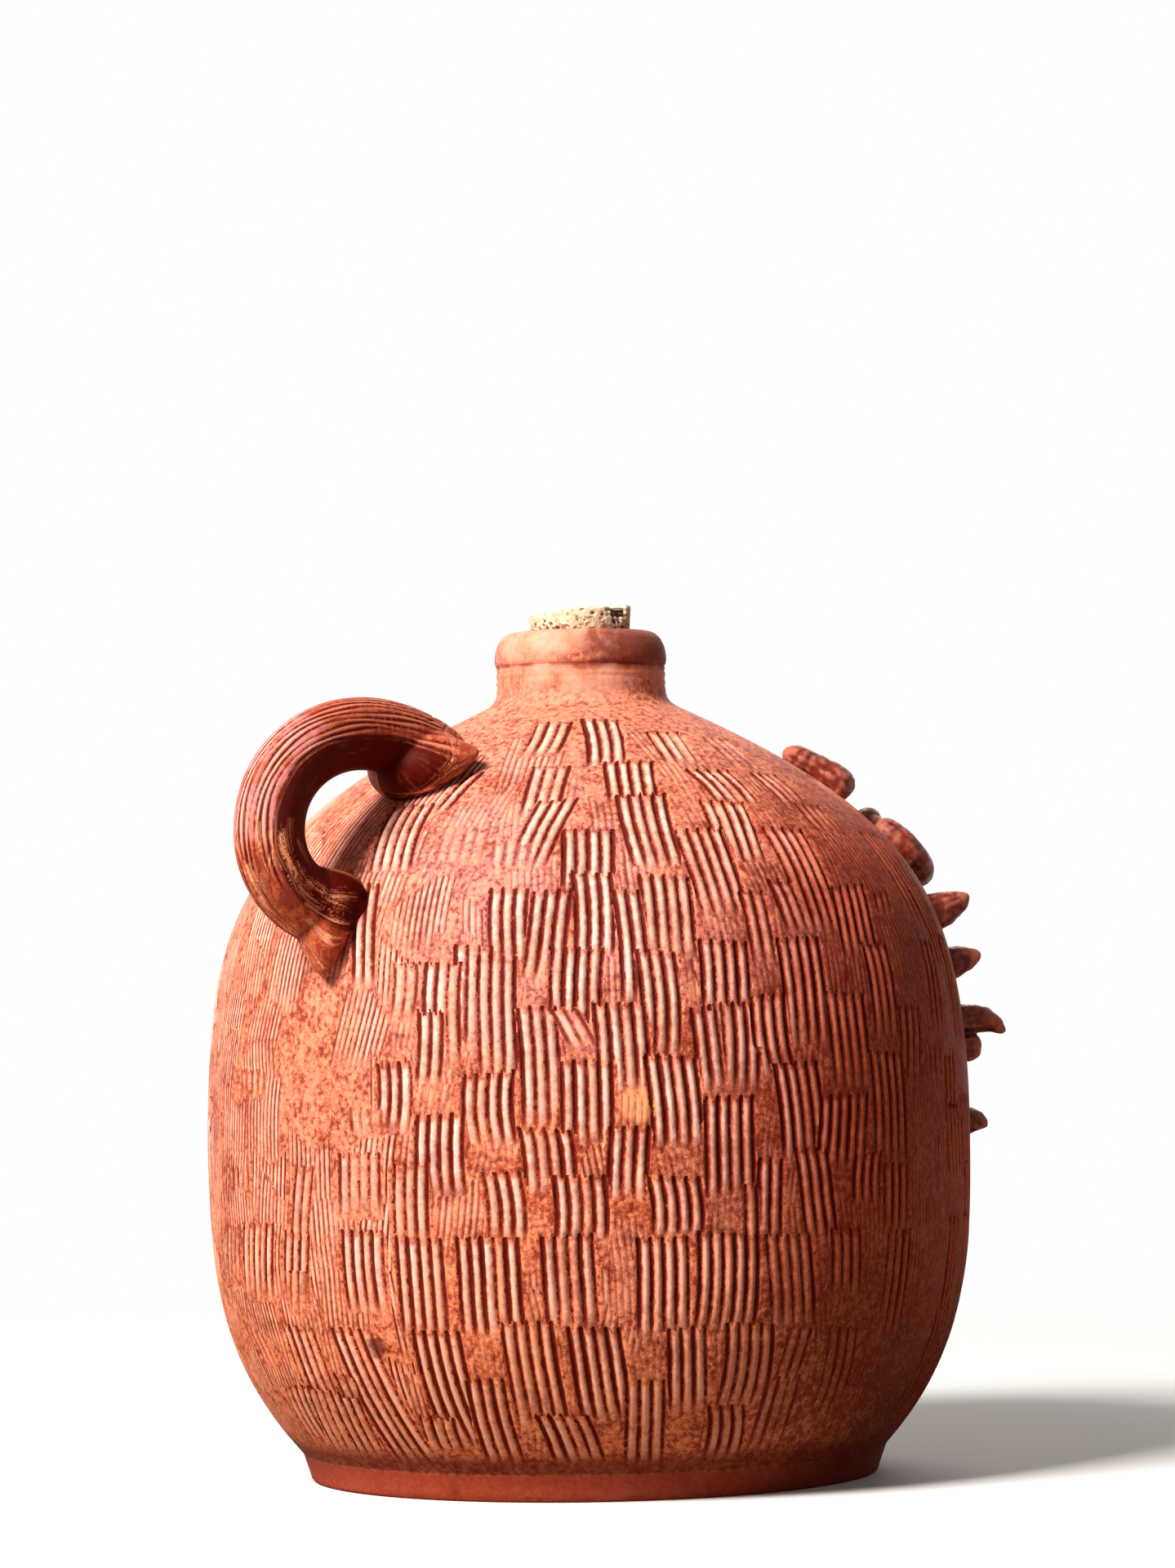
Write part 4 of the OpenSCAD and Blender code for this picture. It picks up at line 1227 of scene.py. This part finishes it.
def glaze_finish():
    glaze = Finish("owl_glaze")
    blotch = glaze.noise(140, 4, 0.6)
    cloud = glaze.noise(420, 4, 0.6)
    grain = glaze.noise(1500, 2, 0.5)
    rim = glaze.stored("rim")
    # Pale pinkish on the edges that stand out: partly worn glaze, partly a painted highlight.
    wear_and_highlight = glaze.ragged(rim, 0.1, 0.34, (cloud, 0.2))
    tinted = glaze.coats(
        paint(128, 44, 26),
        (74, 20, 12, glaze.smooth(blotch, 0.4, 0.65)),
        (140, 56, 38, glaze.smooth(cloud, 0.56, 0.72) * 0.4),
        # worn glaze and painted highlight on the edges
        (196, 112, 88, wear_and_highlight * 0.7),
        (40, 10, 7, glaze.smooth(rim, -0.05, -0.25) * 0.6))
    relief = (cloud - 0.5) + (grain - 0.5) * 0.3
    return glaze.surface(Base_Color=tinted, Roughness=0.42 + wear_and_highlight * 0.2,
                         Normal=glaze.bump(relief, 0.0005, 0.5), Coat_Weight=0.1 - wear_and_highlight * 0.07,
                         Coat_Roughness=0.2, Specular_IOR_Level=0.16, Specular_Tint=(1, 0.7, 0.6, 1))


owl_glaze = glaze_finish()


def finish_lump(obj, node, lumps, size, tool=None):
    """Remeshes a lump, makes it uneven, presses in the tip of a tool where there is one, and glazes it.
    A tool is the place of its tip and the direction that it comes from."""
    remesh(obj, 0.36, 4)
    uneven(obj, size, lumps)
    if tool:
        points, start, way = places(obj), np.array(tool[0]), np.array(tool[1])
        share = np.clip((points - start) @ way, 0, 1)
        gap = np.linalg.norm(points - start - share[:, None] * way, axis=1)
        press(obj, 1.1 * smoothstep(gap, 1.7, 0), 1.5)
    store(obj, "rim", rims(obj, 10))
    settle(obj, "jug", "owl_glaze", owl_glaze, node)


def side_name(piece, side):
    return f"{piece}_{'left' if side > 0 else 'right'}"


# %% Tufts, brows, eyes and feet
for side in (1, -1):
    path = bent_roll([(1.24, 0.852), (1.2, 0.885), (1.13, 0.91)], side, 0.55)
    tuft = roll(side_name("tuft", side), path, 12, 7.5)
    finish_lump(tuft, side_name("ear_tuft", side), 1.2, 4)

    path = bent_roll([(0.13, 0.806), (0.3, 0.865), (0.78, 0.874)], side, 0.9)
    brow = roll(side_name("brow_roll", side), path, 8, 5)
    finish_lump(brow, side_name("brow", side), 0.7, 3.5)

    out = out_of(side * EYE_TURN, EYE_Z)
    lean = math.acos(out_of(0, EYE_Z).z) - math.radians(6)
    face = Matrix.Rotation(math.radians(side * EYE_TURN), 3, "Z") @ Matrix.Rotation(lean, 3, "Y")
    middle = on_wall(side * EYE_TURN, EYE_Z, EYE_STAND - EYE_ROLL_R)
    rings = []
    for t in eased(26):
        a = math.radians(side * (90 + 62) + 3 + 354 * t)
        spoke = face @ Vector((math.cos(a), math.sin(a), 0))
        fat = EYE_ROLL_R * max(0.55, round_ends(t, 12))
        rings.append((middle + spoke * (EYE_D / 2 - EYE_ROLL_R), spoke * fat, face @ Vector((0, 0, 1)) * fat))
    eye_ring = loft(side_name("eye_roll", side), rings, 14)
    finish_lump(eye_ring, side_name("eye_ring", side), 0.8, 4)

    bpy.ops.object.select_all(action="DESELECT")
    bpy.ops.mesh.primitive_uv_sphere_add(segments=48, ring_count=24, radius=PUPIL_R * MM,
                                         location=on_wall(side * EYE_TURN, EYE_Z) * MM)
    ball = named(bpy.context.object, side_name("pupil_ball", side))
    bpy.ops.object.transform_apply(location=True)
    dimple = on_wall(side * EYE_TURN, EYE_Z, 5.2)
    finish_lump(ball, side_name("pupil", side), 0.4, 3, (dimple, out))

    toes = []
    for toe in (-1, 0, 1):
        spread = turn_of(toe * 0.5 * TOE_LENGTH, ANKLE)
        path = [(side * (FOOT_TURN + spread * t), ANKLE - TOE_LENGTH * t, round_ends(t) * (1 - 0.28 * t))
                for t in eased(12)]
        toes.append(roll("toe", path, 6.5, 5))
    finish_lump(joined(side_name("toes", side), *toes), side_name("foot", side), 0.6, 3)

# %% Beak and feathers
beak_path = [(a * 17, b * 10) for a, b in [(0.3, -0.3), (0.4, 0.9), (0, 1.15), (-0.55, 0.72)]]
finish_lump(pinch("beak_pinch", 0, 0.735 * SHOULDER_Z, beak_path, 13, 13, 0.24, 12), "beak", 0.6, 4)

WING = [  # height as a share of the shoulder's, size, stand, droop, tip
    (0.708, 1, 1.06, -0.06, 0.5), (0.643, 0.84, 0.86, -0.04, 0.52), (0.57, 0.72, 1.14, 0.4, 0.76),
    (0.44, 0.8, 0.54, 0.16, 0.3),
]
for side in (1, -1):
    for i, (height, size, out, droop, tip) in enumerate(WING):
        z = height * SHOULDER_Z
        lumps = [feather("feather", side * WING_TURN, z, size, out, droop, tip)]
        if i == 2:
            lumps.append(feather("lobe", side * WING_TURN, z - 0.62 * LEAF_H, size, 0.5, 0, 1))
        lump = joined(f"{side_name('wing_pinch', side)}_{i + 1}", *lumps)
        finish_lump(lump, f"{side_name('wing_feather', side)}_{i + 1}", 1.1, 3.4)

BREAST = [(-1, 0.648), (0, 0.632), (1, 0.648), (-0.55, 0.56), (0.55, 0.56)]
for i, (turn, height) in enumerate(BREAST):
    lump = feather(f"breast_pinch_{i + 1}", turn * BREAST_TURN, height * SHOULDER_Z, 0.86, 0.62, 0.3, 0.5)
    finish_lump(lump, f"breast_feather_{i + 1}", 0.9, 3.4)
